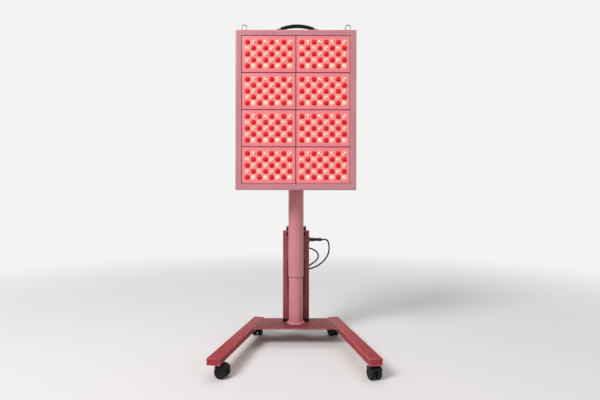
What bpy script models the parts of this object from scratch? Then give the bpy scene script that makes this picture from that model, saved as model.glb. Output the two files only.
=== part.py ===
"""Red light therapy panel on a wheeled, height-adjustable stand.

Lengths are in metres. +X is to the right as seen from the front, +Y to the back, +Z up.
The origin lies on the floor, midway between the ends of the two legs.
Sub-parts are built where they stand at rest; what moves hangs from an empty on its joint.
"""

import math
from dataclasses import dataclass

import bmesh
import bpy
from mathutils import Matrix, Vector

# Fits shared by all sub-assemblies
GAP = 0.0003
RUNNING_GAP = 0.0005
OVERRUN = 0.004
SAME_POINT = 0.000001

# Sides of round pieces
POLE_SIDES = 24
DISC_SIDES = 16
SMALL_SIDES = 8
LENS_SIDES = 6

# Casters
WHEEL_RADIUS = 0.0235
CASTER_WIDTH = 0.044
WHEEL_GAP = 0.0118
WHEEL_EDGE = 0.0035
HUB_RADIUS = 0.010
HUB_RECESS = 0.0025
AXLE_RADIUS = 0.004
CASTER_TRAIL = 0.020
HOOD_GAP = 0.0015
HOOD_WALL = 0.002
HOOD_FROM = math.radians(30)
HOOD_TO = math.radians(150)
HOOD_STEPS = 8
WEB_FOOT = 0.009
WEB_HEAD = 0.0085
WEB_HEAD_DEPTH = 0.024
HEAD_RADIUS = 0.012
HEAD_HEIGHT = 0.0029
STEM_RADIUS = 0.004
STEM_LENGTH = 0.020
STEM_FLANGE_RADIUS = 0.013
STEM_FLANGE = 0.005
STEM_INSET = 0.044
HEADINGS = {
    "front_left": math.radians(-112),
    "front_right": math.radians(-165),
    "rear_left": math.radians(-10),
    "rear_right": math.radians(30),
}

# Legs and plates of the base
LEG_WIDTH = 0.050
LEG_HEIGHT = 0.026
LEG_WALL = 0.002
LEG_CORNER = 0.0025
LEG_LENGTH = 0.572
LEG_SPLAY = math.radians(11.4)
LEG_MID_X = 0.2365
END_WALL = 0.002
PLATE_THICKNESS = 0.006
PLATE_AHEAD = 0.088
PLATE_BEHIND = 0.082
FOOT_PLATE_WIDTH = 0.124
FOOT_PLATE_THICKNESS = 0.005
FOOT_PLATE_AHEAD = 0.070
FOOT_PLATE_BEHIND = 0.106
BOLT_SPREAD = 0.048
BOLT_RADIUS = 0.004
BOLT_HEAD_RADIUS = 0.0075
BOLT_HEAD = 0.005
BOLT_BITE = 0.004

# Column
POLE_Y = 0.176
SLEEVE_RADIUS = 0.035
SLEEVE_WALL = 0.0015
GUIDE_SPACE = 0.0013
MAST_WALL = 0.0022
MAST_LENGTH = 0.824
SLEEVE_BOTTOM = 0.2975
SLEEVE_LENGTH = 0.8875
TRAVEL_DOWN = 0.150
TRAVEL_UP = 0.250
COLLAR_RADIUS = 0.0405
COLLAR_HEIGHT = 0.008
COLLAR_ROUND = 0.003
BUSH_FLANGE = 0.0015
BUSH_LENGTH = 0.040
MAST_BUSH_LENGTH = 0.030
MAST_BUSH_LIP = 0.002
KEY_WIDTH = 0.007
KEY_RISE = 0.006
KEY_LENGTH = 0.020
KEY_TIP_GAP = 0.0004

# Lockable gas spring inside the column
SPRING_BELOW_MAST_TOP = 0.005
SPRING_RADIUS = 0.014
SPRING_BORE = 0.0115
SPRING_BASE = 0.006
SPRING_NECK = 0.020
STROKE_SPARE = 0.022
PISTON_LENGTH = 0.012
ROD_RADIUS = 0.005
ROD_SHOULDER_RADIUS = 0.009
ROD_SHOULDER = 0.004
ROD_STUD_RADIUS = 0.004
ROD_STUD_RISE = 0.004

# Sleeve cap and release lever
CAP_FLANGE = 0.006
CAP_SPIGOT = 0.025
CAP_WALL = 0.0025
LEVER_LIFT = 0.0018
LEVER_THICKNESS = 0.005
LEVER_WIDTH = 0.012
LEVER_HEEL = 0.006
LEVER_PIVOT_BACK = 0.010
LEVER_REACH = 0.085
LEVER_PIN_RADIUS = 0.0015
LEVER_EAR = 0.004
LEVER_EAR_HALF = 0.005
LEVER_HEADROOM = 0.003

# Tilt head between the sleeve and the panel
HEAD_SPACE = 0.045
PIVOT_DROP = 0.035
PIVOT_RISE = 0.109
YOKE_HEIGHT = 0.070
YOKE_WRAP = 0.020
YOKE_FACE = 0.006
YOKE_EAR = 0.006
LUG_THICKNESS = 0.006
LUG_INSIDE = 0.020
LUG_ROUND = 0.012
LUG_STEPS = 8
EAR_CLEAR = 0.0006
PIVOT_BOLT_RADIUS = 0.005
PIVOT_HEAD_RADIUS = 0.009
PIVOT_HEAD = 0.006
PIVOT_SPARE = 0.012
KNOB_RADIUS = 0.0165
KNOB_LENGTH = 0.016
KNOB_LOBES = 6
KNOB_LOBE_SHARE = 0.12
MOUNT_PLATE_WIDTH = 0.160
MOUNT_PLATE_HEIGHT = 0.120
MOUNT_PLATE = 0.004

# Panel
PANEL_WIDTH = 0.523
PANEL_HEIGHT = 0.692
PANEL_DEPTH = 0.060
FRAME_RIM_SIDE = 0.0256
FRAME_RIM_TOP = 0.0246
FRAME_FACE = 0.0055
FRAME_WALL = 0.004
FRAME_DEPTH = 0.020
FRAME_ROUND = 0.005
HOUSING_WALL = 0.0015
MODULE_COLUMNS = 2
MODULE_ROWS = 4
MODULE_SPACE = 0.0015
MODULE_RECESS = 0.002
MODULE_SHEET = 0.0012
MODULE_DEPTH = 0.0035
MODULE_ROUND = 0.002
LED_MARGIN = 0.018
LED_PITCH_X = 0.0262
LED_PITCH_Z = 0.0257
LENS_RADIUS = 0.010
LENS_HEIGHT = 0.005
LENS_TOP_SHARE = 0.55
SINK_OVERLAP = 0.010
SINK_BASE = 0.003
SINK_FIN_HEIGHT = 0.014
SINK_FIN = 0.002
SINK_FINS = 9
SINK_FIN_MARGIN = 0.030

# Fan behind the rear housing's grille
FAN_DROP = 0.121
FAN_FRAME = 0.122
FAN_DEPTH = 0.022
FAN_BORE = 0.057
FAN_TIP_GAP = 0.003
FAN_HUB = 0.020
FAN_BLADES = 7
FAN_BLADE = 0.0018
FAN_BLADE_PITCH = math.radians(32)
FAN_BLADE_CHORD = 0.020
FAN_SINK = 0.004
FAN_STRUT = 0.006
FAN_STRUT_DEPTH = 0.004
FAN_PIN_RADIUS = 0.004
GRILLE_RINGS = 3
GRILLE_ARMS = 4
GRILLE_HUB = 0.016
GRILLE_BAR = 0.003
GRILLE_STEPS = 4

# Panel fittings
EYE_SPREAD = 0.2275
EYE_DEPTH = 0.034
EYE_RADIUS = 0.0118
EYE_WIRE = 0.0022
EYE_SHANK_RADIUS = 0.003
EYE_SHANK_IN = 0.008
EYE_COLLAR_RADIUS = 0.0065
EYE_COLLAR = 0.003
EYE_RISE = 0.021
HANDLE_X = 0.005
HANDLE_DEPTH = 0.030
GRIP_HALF = 0.0735
GRIP_WIDTH = 0.024
GRIP_END_LOW = 0.0075
GRIP_END_HIGH = 0.0165
GRIP_MID_LOW = 0.0205
GRIP_MID_HIGH = 0.0305
GRIP_STEPS = 12
ARM_WIDTH = 0.018
ARM_THICKNESS = 0.003
ARM_FOOT_OUT = 0.118
ARM_FOOT_IN = 0.103
ARM_JOIN_LOW = 0.009
ARM_JOIN_HIGH = 0.0145
SCREW_RADIUS = 0.002
SCREW_HEAD_RADIUS = 0.004
SCREW_HEAD = 0.002
SCREW_LENGTH = 0.006
STUD_RADIUS = 0.0025
STUD_LENGTH = 0.005
MOUNT_STUD_INSET = 0.014
PANEL_GLAND_X = 0.180
PANEL_GLAND_RISE = 0.050
GLAND_RADIUS = 0.0095
GLAND_NECK_RADIUS = 0.0065
GLAND_DOME_RADIUS = 0.0075
GLAND_FLANGE = 0.004
GLAND_DOME = 0.008
GLAND_NUT = 0.004

# Power box behind the column
BOX_STANDOFF = 0.006
BOX_WIDTH = 0.124
BOX_DEPTH = 0.045
BOX_HEIGHT = 0.416
BOX_SHEET = 0.0015
BOX_FOLD = 0.002
FEET_HEIGHT = 0.007
FEET_WIDTH = 0.025
FEET_AHEAD = 0.022
FEET_INSET = 0.003
VENT_ROWS = 14
VENT_PITCH = 0.0119
VENT_HEIGHT = 0.004
VENT_WIDTH = 0.084
VENT_ABOVE_BASE = 0.122
KEYHOLE_SPREAD = 0.0385
KEYHOLE_BELOW_TOP = 0.018
KEYHOLE_RADIUS = 0.0055
KEYHOLE_SLOT = 0.005
KEYHOLE_SLOT_HEIGHT = 0.014
EAR_SPREAD = 0.041
BOX_EAR_WIDTH = 0.014
BOX_EAR_HEIGHT = 0.020
BOX_EAR_SCREW_DROP = 0.008
BRACKET_WIDTH = 0.044
BRACKET_HEIGHT = 0.030
BRACKET_BELOW_SLEEVE = 0.010
BRACKET_WRAP = 0.010
SUPPLY_WIDTH = 0.098
SUPPLY_DEPTH = 0.028
SUPPLY_HEIGHT = 0.215
SUPPLY_ABOVE_BASE = 0.100
SOCKET_BELOW_TOP = 0.043
SOCKET_BEHIND_FACE = 0.022
SOCKET_FLANGE = 0.028
SOCKET_FLANGE_THICKNESS = 0.002
SOCKET_BARREL = 0.008
SOCKET_NOSE = 0.0075
SOCKET_INSIDE = 0.010
SOCKET_OUTSIDE = 0.0055
PLUG_RING_RADIUS = 0.0085
PLUG_RING = 0.0165
PLUG_BODY_RADIUS = 0.007
PLUG_BODY = 0.018
PLUG_NUT_RADIUS = 0.0078
PLUG_NUT = 0.016
PLUG_END_RADIUS = 0.005
PLUG_END = 0.0045

# Mains inlet with its rocker switch, in the back plate
INLET_X = -0.030
INLET_ABOVE_BASE = 0.055
INLET_WIDTH = 0.030
INLET_HEIGHT = 0.052
INLET_BEZEL = 0.003
INLET_BEZEL_THICKNESS = 0.002
INLET_BODY_DEPTH = 0.016
INLET_WALL = 0.0025
INLET_MOUTH_HEIGHT = 0.018
INLET_MOUTH_DEPTH = 0.012
INLET_RIB = 0.004
ROCKER_THICKNESS = 0.004
ROCKER_CREST = 0.0022
ROCKER_TILT = math.radians(7)
ROCKER_DEPTH = 0.0075
ROCKER_PIN_RADIUS = 0.001
ROCKER_SIDE_GAP = 0.0008

# Lead from the box's socket to the gland in the foot plate
LEAD_DIAMETER = 0.007
LEAD_STEP = 0.0165
LEAD_STRAIGHT = 0.011
LEAD_ROUTE_STEPS = 8
LEAD_GLAND_X = 0.020
LEAD_GLAND_BEHIND = 0.0945
HOOK_CLEAR = 0.0012
HOOK_WALL = 0.002
HOOK_LENGTH = 0.008
HOOK_AT = 15
LEAD_ROUTE = [
    (0.1455, 0.2393, 0.4610),
    (0.1520, 0.2410, 0.4540),
    (0.1555, 0.2425, 0.4450),
    (0.1575, 0.245, 0.432),
    (0.158, 0.248, 0.417),
    (0.156, 0.251, 0.400),
    (0.1505, 0.254, 0.384),
    (0.141, 0.257, 0.368),
    (0.125, 0.2605, 0.350),
    (0.105, 0.264, 0.335),
    (0.085, 0.2665, 0.325),
    (0.067, 0.2672, 0.319),
    (0.045, 0.2673, 0.3145),
    (0.022, 0.2675, 0.3145),
    (0.000, 0.268, 0.320),
    (-0.020, 0.2685, 0.333),
    (-0.033, 0.269, 0.352),
    (-0.036, 0.2695, 0.374),
    (-0.028, 0.270, 0.395),
    (-0.012, 0.2705, 0.411),
    (0.010, 0.271, 0.419),
    (0.036, 0.2715, 0.421),
    (0.062, 0.272, 0.418),
    (0.084, 0.2725, 0.4105),
    (0.100, 0.273, 0.399),
    (0.107, 0.2735, 0.384),
    (0.105, 0.274, 0.369),
    (0.095, 0.2745, 0.356),
    (0.081, 0.275, 0.345),
    (0.065, 0.2754, 0.3335),
    (0.048, 0.2756, 0.319),
    (0.034, 0.2755, 0.300),
    (0.025, 0.275, 0.276),
    (0.021, 0.2742, 0.248),
    (0.020, 0.273, 0.219),
    (0.020, 0.272, 0.190),
    (0.020, 0.2712, 0.160),
    (0.020, 0.2707, 0.130),
]

# Heights and depths that follow from the sizes above
HOOD_TOP = 2 * WHEEL_RADIUS + HOOD_GAP + HOOD_WALL
LEG_BOTTOM = HOOD_TOP + GAP + STEM_FLANGE + GAP
LEG_TOP = LEG_BOTTOM + LEG_HEIGHT
PLATE_REAR = POLE_Y + PLATE_BEHIND
FOOT_PLATE_TOP = LEG_TOP - PLATE_THICKNESS - GAP
SLEEVE_BORE = SLEEVE_RADIUS - SLEEVE_WALL
MAST_RADIUS = SLEEVE_BORE - GUIDE_SPACE
MAST_BORE = MAST_RADIUS - MAST_WALL
MAST_BOTTOM = FOOT_PLATE_TOP + GAP
MAST_TOP = MAST_BOTTOM + MAST_LENGTH
SLEEVE_TOP = SLEEVE_BOTTOM + SLEEVE_LENGTH
SPRING_TOP = MAST_TOP - SPRING_BELOW_MAST_TOP
SPRING_LENGTH = (
    SPRING_BASE + SPRING_NECK + PISTON_LENGTH + TRAVEL_DOWN + TRAVEL_UP + 2 * STROKE_SPARE
)
ROD_BOTTOM = SPRING_TOP - SPRING_NECK - STROKE_SPARE - TRAVEL_UP - PISTON_LENGTH
CAP_TOP = SLEEVE_TOP + GAP + CAP_FLANGE
LEVER_UNDERSIDE = CAP_TOP + ROD_STUD_RISE + LEVER_LIFT
LEVER_PIVOT = Vector((-LEVER_PIVOT_BACK, POLE_Y, LEVER_UNDERSIDE + LEVER_THICKNESS / 2))
PANEL_BACK = POLE_Y - SLEEVE_RADIUS - HEAD_SPACE
PANEL_FRONT = PANEL_BACK - PANEL_DEPTH
PIVOT = Vector((0, POLE_Y - SLEEVE_RADIUS - HEAD_SPACE / 2, SLEEVE_TOP - PIVOT_DROP))
YOKE_EAR_NEAR = LUG_INSIDE + LUG_THICKNESS + EAR_CLEAR
YOKE_HALF = YOKE_EAR_NEAR + YOKE_EAR
PANEL_MID_Z = PIVOT.z - PIVOT_RISE
PANEL_TOP = PANEL_MID_Z + PANEL_HEIGHT / 2
PANEL_BOTTOM = PANEL_MID_Z - PANEL_HEIGHT / 2
OPENING_WIDTH = PANEL_WIDTH - 2 * FRAME_RIM_SIDE
OPENING_HEIGHT = PANEL_HEIGHT - 2 * FRAME_RIM_TOP
MODULE_WIDTH = (OPENING_WIDTH - (MODULE_COLUMNS + 1) * MODULE_SPACE) / MODULE_COLUMNS
MODULE_HEIGHT = (OPENING_HEIGHT - (MODULE_ROWS + 1) * MODULE_SPACE) / MODULE_ROWS
LED_COLUMNS = 1 + int((MODULE_WIDTH - 2 * LED_MARGIN) / LED_PITCH_X)
LED_ROWS = 1 + int((MODULE_HEIGHT - 2 * LED_MARGIN) / LED_PITCH_Z)
MODULE_FACE_Y = PANEL_FRONT + MODULE_RECESS
SINK_FRONT = PANEL_FRONT + FRAME_FACE + GAP
BOX_FACE = POLE_Y + SLEEVE_RADIUS + BOX_STANDOFF
BOX_REAR = BOX_FACE + BOX_DEPTH
BOX_BOTTOM = LEG_TOP + GAP + FEET_HEIGHT + GAP
BOX_TOP = BOX_BOTTOM + BOX_HEIGHT
BACK_PLATE_FACE = BOX_REAR - BOX_SHEET
SOCKET = Vector((BOX_WIDTH / 2, BOX_FACE + SOCKET_BEHIND_FACE, BOX_TOP - SOCKET_BELOW_TOP))
PLUG_START = SOCKET.x + GAP + SOCKET_FLANGE_THICKNESS + SOCKET_OUTSIDE + GAP
PLUG_LENGTH = PLUG_RING + PLUG_BODY + PLUG_NUT + PLUG_END
LEAD_GLAND = Vector((LEAD_GLAND_X, POLE_Y + LEAD_GLAND_BEHIND, FOOT_PLATE_TOP))
INLET = Vector((INLET_X, BOX_REAR, BOX_BOTTOM + INLET_ABOVE_BASE))

# Turns that lay a piece's own height along another axis
TO_X = Matrix.Rotation(math.pi / 2, 4, "Y")
TO_BACK = Matrix.Rotation(-math.pi / 2, 4, "X")
TO_FRONT = Matrix.Rotation(math.pi / 2, 4, "X")


@dataclass
class Finish:
    """A surface: its name, colour, roughness and metallic value."""

    name: str
    colour: tuple
    roughness: float
    metallic: float = 0.0

    def material(self):
        """Returns the finish's material, made once."""
        known = bpy.data.materials.get(self.name)
        if known:
            return known
        made = bpy.data.materials.new(self.name)
        made.use_nodes = True
        shader = made.node_tree.nodes["Principled BSDF"]
        shader.inputs["Base Color"].default_value = (*self.colour, 1.0)
        shader.inputs["Roughness"].default_value = self.roughness
        shader.inputs["Metallic"].default_value = self.metallic
        made.diffuse_color = (*self.colour, 1.0)
        return made


POWDER_COAT = Finish("powder_coat", (0.56, 0.30, 0.32), 0.42)
BLACK_COAT = Finish("black_coat", (0.020, 0.020, 0.022), 0.42)
LENS_PLATE = Finish("lens_plate", (0.86, 0.32, 0.34), 0.25)
BLACK_NYLON = Finish("black_nylon", (0.018, 0.018, 0.020), 0.45)
BLACK_RUBBER = Finish("black_rubber", (0.022, 0.022, 0.022), 0.75)
PALE_STEEL = Finish("plated_steel", (0.66, 0.66, 0.68), 0.30, 1.0)
DARK_NUT = Finish("dark_coupling", (0.045, 0.050, 0.095), 0.35, 0.5)
ALUMINIUM = Finish("bare_aluminium", (0.74, 0.75, 0.76), 0.40, 1.0)
GUIDE_GREY = Finish("guide_grey", (0.34, 0.34, 0.35), 0.55)


@dataclass
class Holder:
    """An empty that carries the pieces of one body, with its place at rest."""

    empty: bpy.types.Object
    place: Matrix


def new_holder(name, place, parent=None):
    """Adds an empty at a place, hung from another holder where one is given."""
    empty = bpy.data.objects.new(name, None)
    bpy.context.collection.objects.link(empty)
    if parent:
        empty.parent = parent.empty
        empty.matrix_basis = parent.place.inverted() @ place
    else:
        empty.matrix_basis = place
    return Holder(empty, place)


def block(low, high):
    """Returns a box between two corners."""
    shape = bmesh.new()
    low, high = Vector(low), Vector(high)
    bmesh.ops.create_cube(shape, size=1.0)
    bmesh.ops.scale(shape, vec=high - low, verts=shape.verts)
    bmesh.ops.translate(shape, vec=(low + high) / 2, verts=shape.verts)
    return shape


def block_about(centre, size):
    """Returns a box of a size about its centre."""
    half = Vector(size) / 2
    return block(Vector(centre) - half, Vector(centre) + half)


def turned(outline, sides, place=None, flat_down=False):
    """Returns an outline of (radius, height) points turned about Z, then placed."""
    shape = bmesh.new()
    rim = [shape.verts.new((radius, 0, height)) for radius, height in outline]
    pairs = list(zip(rim, rim[1:]))
    if min(radius for radius, _ in outline) > 0:
        pairs.append((rim[-1], rim[0]))
    edges = [shape.edges.new(pair) for pair in pairs]
    bmesh.ops.spin(
        shape, geom=rim + edges, cent=(0, 0, 0), axis=(0, 0, 1),
        angle=math.tau, steps=sides, use_merge=True,
    )
    bmesh.ops.remove_doubles(shape, verts=shape.verts, dist=SAME_POINT)
    bmesh.ops.recalc_face_normals(shape, faces=shape.faces)
    if flat_down:
        half_step = Matrix.Rotation(math.pi / sides, 4, "Z")
        bmesh.ops.transform(shape, matrix=half_step, verts=shape.verts)
    if place is not None:
        bmesh.ops.transform(shape, matrix=place, verts=shape.verts)
    return shape


def rod(radius, low, high, sides, place=None):
    """Returns a round bar from one height to another."""
    return turned([(0, low), (radius, low), (radius, high), (0, high)], sides, place)


def tube(bore, radius, low, high, sides, place=None):
    """Returns a pipe from one height to another."""
    outline = [(bore, low), (radius, low), (radius, high), (bore, high)]
    return turned(outline, sides, place)


def prism(outline, low, high, place=None):
    """Returns an outline of (x, y) points drawn up from one height to another."""
    shape = bmesh.new()
    face = shape.faces.new([shape.verts.new((x, y, low)) for x, y in outline])
    drawn = bmesh.ops.extrude_face_region(shape, geom=[face])["geom"]
    top = [part for part in drawn if isinstance(part, bmesh.types.BMVert)]
    bmesh.ops.translate(shape, vec=(0, 0, high - low), verts=top)
    bmesh.ops.recalc_face_normals(shape, faces=shape.faces)
    if place is not None:
        bmesh.ops.transform(shape, matrix=place, verts=shape.verts)
    return shape


def rounded_rectangle(width, height, radius, steps=3):
    """Returns the outline of a rectangle with round corners, about its centre."""
    corners = [
        (width / 2 - radius, height / 2 - radius, 0),
        (radius - width / 2, height / 2 - radius, 1),
        (radius - width / 2, radius - height / 2, 2),
        (width / 2 - radius, radius - height / 2, 3),
    ]
    outline = []
    for x, y, quarter in corners:
        for step in range(steps + 1):
            angle = (quarter + step / steps) * math.pi / 2
            outline.append((x + radius * math.cos(angle), y + radius * math.sin(angle)))
    return outline


def merged(shapes):
    """Returns one mesh that holds several shapes, which stay separate bodies."""
    whole = bmesh.new()
    for shape in shapes:
        carried = bpy.data.meshes.new("carried")
        shape.to_mesh(carried)
        shape.free()
        whole.from_mesh(carried)
        bpy.data.meshes.remove(carried)
    return whole


def at(x, y, z):
    """Returns the matrix that moves a shape."""
    return Matrix.Translation((x, y, z))


def soften(shape, test, width, segments):
    """Rounds the edges of a shape whose two ends both pass a test."""
    edges = [edge for edge in shape.edges if all(test(vert.co) for vert in edge.verts)]
    bmesh.ops.bevel(
        shape, geom=edges, offset=width, segments=segments,
        profile=0.5, affect="EDGES", material=-1,
    )
    bmesh.ops.recalc_face_normals(shape, faces=shape.faces)
    return shape


def hang(name, shape, holder, local):
    """Makes an object of a shape and hangs it from its holder."""
    if not local:
        bmesh.ops.transform(shape, matrix=holder.place.inverted(), verts=shape.verts)
    mesh = bpy.data.meshes.new(name)
    shape.to_mesh(mesh)
    shape.free()
    made = bpy.data.objects.new(name, mesh)
    bpy.context.collection.objects.link(made)
    made.parent = holder.empty
    return made


def piece(name, shape, finish, holder, local=False):
    """Adds one named sub-part in its finish."""
    made = hang(name, shape, holder, local)
    made.data.materials.append(finish.material())
    made.data.shade_smooth()
    made.data.set_sharp_from_angle(angle=math.radians(35))
    return made


def combine(target, shape, holder, operation, local):
    """Cuts or joins a shape with a Boolean whose second object is only a guide."""
    guide = hang(f"{target.name}_{operation.lower()}_guide", shape, holder, local)
    guide.hide_render = True
    guide.display_type = "WIRE"
    boolean = target.modifiers.new(operation.title(), "BOOLEAN")
    boolean.operation = operation
    boolean.solver = "EXACT"
    boolean.object = guide


def cut(target, shapes, holder, local=False):
    """Cuts shapes that don't touch each other out of a piece."""
    combine(target, merged(shapes), holder, "DIFFERENCE", local)


def join(target, shape, holder, local=False):
    """Joins one shape to a piece, which stays one body."""
    combine(target, shape, holder, "UNION", local)


def leg_place(side):
    """Returns where a leg's own frame stands: side is -1 on the left, 1 on the right."""
    return at(side * LEG_MID_X, 0, 0) @ Matrix.Rotation(side * LEG_SPLAY, 4, "Z")


def stem_place(end, side):
    """Returns where a caster's stem stands: end is -1 in front, 1 at the rear."""
    inset = end * (LEG_LENGTH / 2 - STEM_INSET)
    return at(*(leg_place(side) @ Vector((0, inset, 0))))


def make_legs(base):
    """Adds both legs, square tubes with welded ends."""
    reach = LEG_LENGTH / 2
    outer = rounded_rectangle(LEG_WIDTH, LEG_HEIGHT, LEG_CORNER)
    inner = rounded_rectangle(
        LEG_WIDTH - 2 * LEG_WALL, LEG_HEIGHT - 2 * LEG_WALL, LEG_CORNER - LEG_WALL
    )
    along = at(0, 0, LEG_BOTTOM + LEG_HEIGHT / 2) @ TO_BACK
    for name, side in (("leg_left", -1), ("leg_right", 1)):
        place = leg_place(side)
        leg = piece(name, prism(outer, -reach, reach, place @ along), POWDER_COAT, base)
        cut(leg, [prism(inner, END_WALL - reach, reach - END_WALL, place @ along)], base)
        holes = [
            rod(
                STEM_RADIUS + RUNNING_GAP, LEG_BOTTOM - OVERRUN, LEG_BOTTOM + LEG_WALL + OVERRUN,
                DISC_SIDES, stem_place(end, side),
            )
            for end in (-1, 1)
        ]
        cut(leg, holes, base)


def plate_half_width(y):
    """Returns half the width between the legs at a depth."""
    return LEG_MID_X - y * math.tan(LEG_SPLAY) - (LEG_WIDTH / 2 + GAP) / math.cos(LEG_SPLAY)


def bolt_places():
    """Returns the middle of each foot bolt, with its side's name."""
    return [("left", -BOLT_SPREAD, POLE_Y), ("right", BOLT_SPREAD, POLE_Y)]


def make_plates(base):
    """Adds the cross plate, the foot plate under it and the bolts that hold them."""
    ahead = POLE_Y - PLATE_AHEAD
    outline = [
        (-plate_half_width(ahead), ahead),
        (plate_half_width(ahead), ahead),
        (plate_half_width(PLATE_REAR), PLATE_REAR),
        (-plate_half_width(PLATE_REAR), PLATE_REAR),
    ]
    underside = LEG_TOP - PLATE_THICKNESS
    plate = piece("cross_plate", prism(outline, underside, LEG_TOP), POWDER_COAT, base)
    pole_hole = rod(
        MAST_RADIUS + GAP, underside - OVERRUN, LEG_TOP + OVERRUN, POLE_SIDES, at(0, POLE_Y, 0)
    )
    bolt_tip = underside + BOLT_BITE
    blind = [
        rod(BOLT_RADIUS + GAP, underside - OVERRUN, bolt_tip + GAP, SMALL_SIDES, at(x, y, 0))
        for _, x, y in bolt_places()
    ]
    cut(plate, [pole_hole, *blind], base)

    foot_low = FOOT_PLATE_TOP - FOOT_PLATE_THICKNESS
    half = FOOT_PLATE_WIDTH / 2
    foot_shape = block(
        (-half, POLE_Y - FOOT_PLATE_AHEAD, foot_low),
        (half, POLE_Y + FOOT_PLATE_BEHIND, FOOT_PLATE_TOP),
    )
    foot = piece("foot_plate", foot_shape, POWDER_COAT, base)
    holes = [
        rod(BOLT_RADIUS + GAP, foot_low - OVERRUN, FOOT_PLATE_TOP + OVERRUN, SMALL_SIDES, at(x, y, 0))
        for _, x, y in bolt_places()
    ]
    holes.append(
        rod(
            GLAND_NECK_RADIUS + GAP, foot_low - OVERRUN, FOOT_PLATE_TOP + OVERRUN, DISC_SIDES,
            at(LEAD_GLAND.x, LEAD_GLAND.y, 0),
        )
    )
    cut(foot, holes, base)

    head_top = foot_low - GAP
    bolt = [
        (0, head_top - BOLT_HEAD), (BOLT_HEAD_RADIUS, head_top - BOLT_HEAD),
        (BOLT_HEAD_RADIUS, head_top), (BOLT_RADIUS, head_top), (BOLT_RADIUS, bolt_tip), (0, bolt_tip),
    ]
    for side, x, y in bolt_places():
        piece(f"foot_bolt_{side}", turned(bolt, SMALL_SIDES, at(x, y, 0)), PALE_STEEL, base)


def make_mast(base):
    """Adds the lower tube with its key slot, its collar, its top bush and the gas spring."""
    pole = at(0, POLE_Y, 0)
    mast = piece(
        "mast", tube(MAST_BORE, MAST_RADIUS, MAST_BOTTOM, MAST_TOP, POLE_SIDES, pole),
        POWDER_COAT, base,
    )
    key_low = SLEEVE_BOTTOM + KEY_RISE
    slot = block(
        (-KEY_WIDTH / 2 - GAP, POLE_Y + MAST_BORE - OVERRUN, key_low - TRAVEL_DOWN - RUNNING_GAP),
        (
            KEY_WIDTH / 2 + GAP, POLE_Y + MAST_RADIUS + OVERRUN,
            key_low + KEY_LENGTH + TRAVEL_UP + RUNNING_GAP,
        ),
    )
    cut(mast, [slot], base)

    low = LEG_TOP + GAP
    high = low + COLLAR_HEIGHT
    inside = MAST_RADIUS + GAP
    ring = [
        (inside, low), (COLLAR_RADIUS, low), (COLLAR_RADIUS, high - COLLAR_ROUND),
        (COLLAR_RADIUS - COLLAR_ROUND / 3, high - COLLAR_ROUND / 3),
        (COLLAR_RADIUS - COLLAR_ROUND, high), (inside, high),
    ]
    piece("base_collar", turned(ring, POLE_SIDES, pole), POWDER_COAT, base)

    lip_low = MAST_TOP + GAP
    bush = [
        (inside, MAST_TOP - MAST_BUSH_LENGTH), (SLEEVE_BORE - GAP, MAST_TOP - MAST_BUSH_LENGTH),
        (SLEEVE_BORE - GAP, lip_low + MAST_BUSH_LIP), (MAST_BORE, lip_low + MAST_BUSH_LIP),
        (MAST_BORE, lip_low), (inside, lip_low),
    ]
    piece("mast_top_bush", turned(bush, POLE_SIDES, pole), GUIDE_GREY, base)

    base_low = SPRING_TOP - SPRING_LENGTH
    floor = base_low + SPRING_BASE
    neck = ROD_RADIUS + GAP
    spring = [
        (0, base_low), (MAST_BORE - GAP, base_low), (MAST_BORE - GAP, floor),
        (SPRING_RADIUS, floor), (SPRING_RADIUS, SPRING_TOP), (neck, SPRING_TOP),
        (neck, SPRING_TOP - SPRING_NECK), (SPRING_BORE, SPRING_TOP - SPRING_NECK),
        (SPRING_BORE, floor), (0, floor),
    ]
    piece("gas_spring_cylinder", turned(spring, POLE_SIDES, pole), BLACK_COAT, base)


def web_outline():
    """Returns the side view of a fork's web: (distance behind the stem, height) points."""
    top = HOOD_TOP - HEAD_HEIGHT / 2
    foot = [
        (
            CASTER_TRAIL + WEB_FOOT * math.cos(angle),
            WHEEL_RADIUS + WEB_FOOT * math.sin(angle),
        )
        for angle in (math.radians(turn) for turn in (200, 235, 270, 305, 340, 20))
    ]
    low = HOOD_TOP - WEB_HEAD_DEPTH
    return [*foot, (CASTER_TRAIL, top), (-WEB_HEAD, top), (-WEB_HEAD, low)]


def hood_outline():
    """Returns the side view of a hood: an arch over both wheels."""
    outline = []
    for radius, order in ((WHEEL_RADIUS + HOOD_GAP, 1), (WHEEL_RADIUS + HOOD_GAP + HOOD_WALL, -1)):
        for step in range(HOOD_STEPS + 1)[::order]:
            angle = HOOD_FROM + (HOOD_TO - HOOD_FROM) * step / HOOD_STEPS
            outline.append(
                (CASTER_TRAIL + radius * math.cos(angle), WHEEL_RADIUS + radius * math.sin(angle))
            )
    return outline


def side_prism(outline, low, high):
    """Returns an outline of (y, z) points drawn along X."""
    turn = Matrix(((0, 0, 1, 0), (1, 0, 0, 0), (0, 1, 0, 0), (0, 0, 0, 1)))
    return prism(outline, low, high, turn)


def wheels_outline():
    """Returns the section of two wheels on one axle: (radius, distance along it) points."""
    near, far, hub = WHEEL_GAP / 2, CASTER_WIDTH / 2, CASTER_WIDTH / 2 - HUB_RECESS
    rim = WHEEL_RADIUS / math.cos(math.pi / DISC_SIDES)
    half = [
        (AXLE_RADIUS, near), (rim - WHEEL_EDGE, near), (rim, near + WHEEL_EDGE),
        (rim, far - WHEEL_EDGE), (rim - WHEEL_EDGE, far), (HUB_RADIUS, far), (HUB_RADIUS, hub),
        (0, hub),
    ]
    return [(radius, -distance) for radius, distance in half[::-1]] + half


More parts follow.
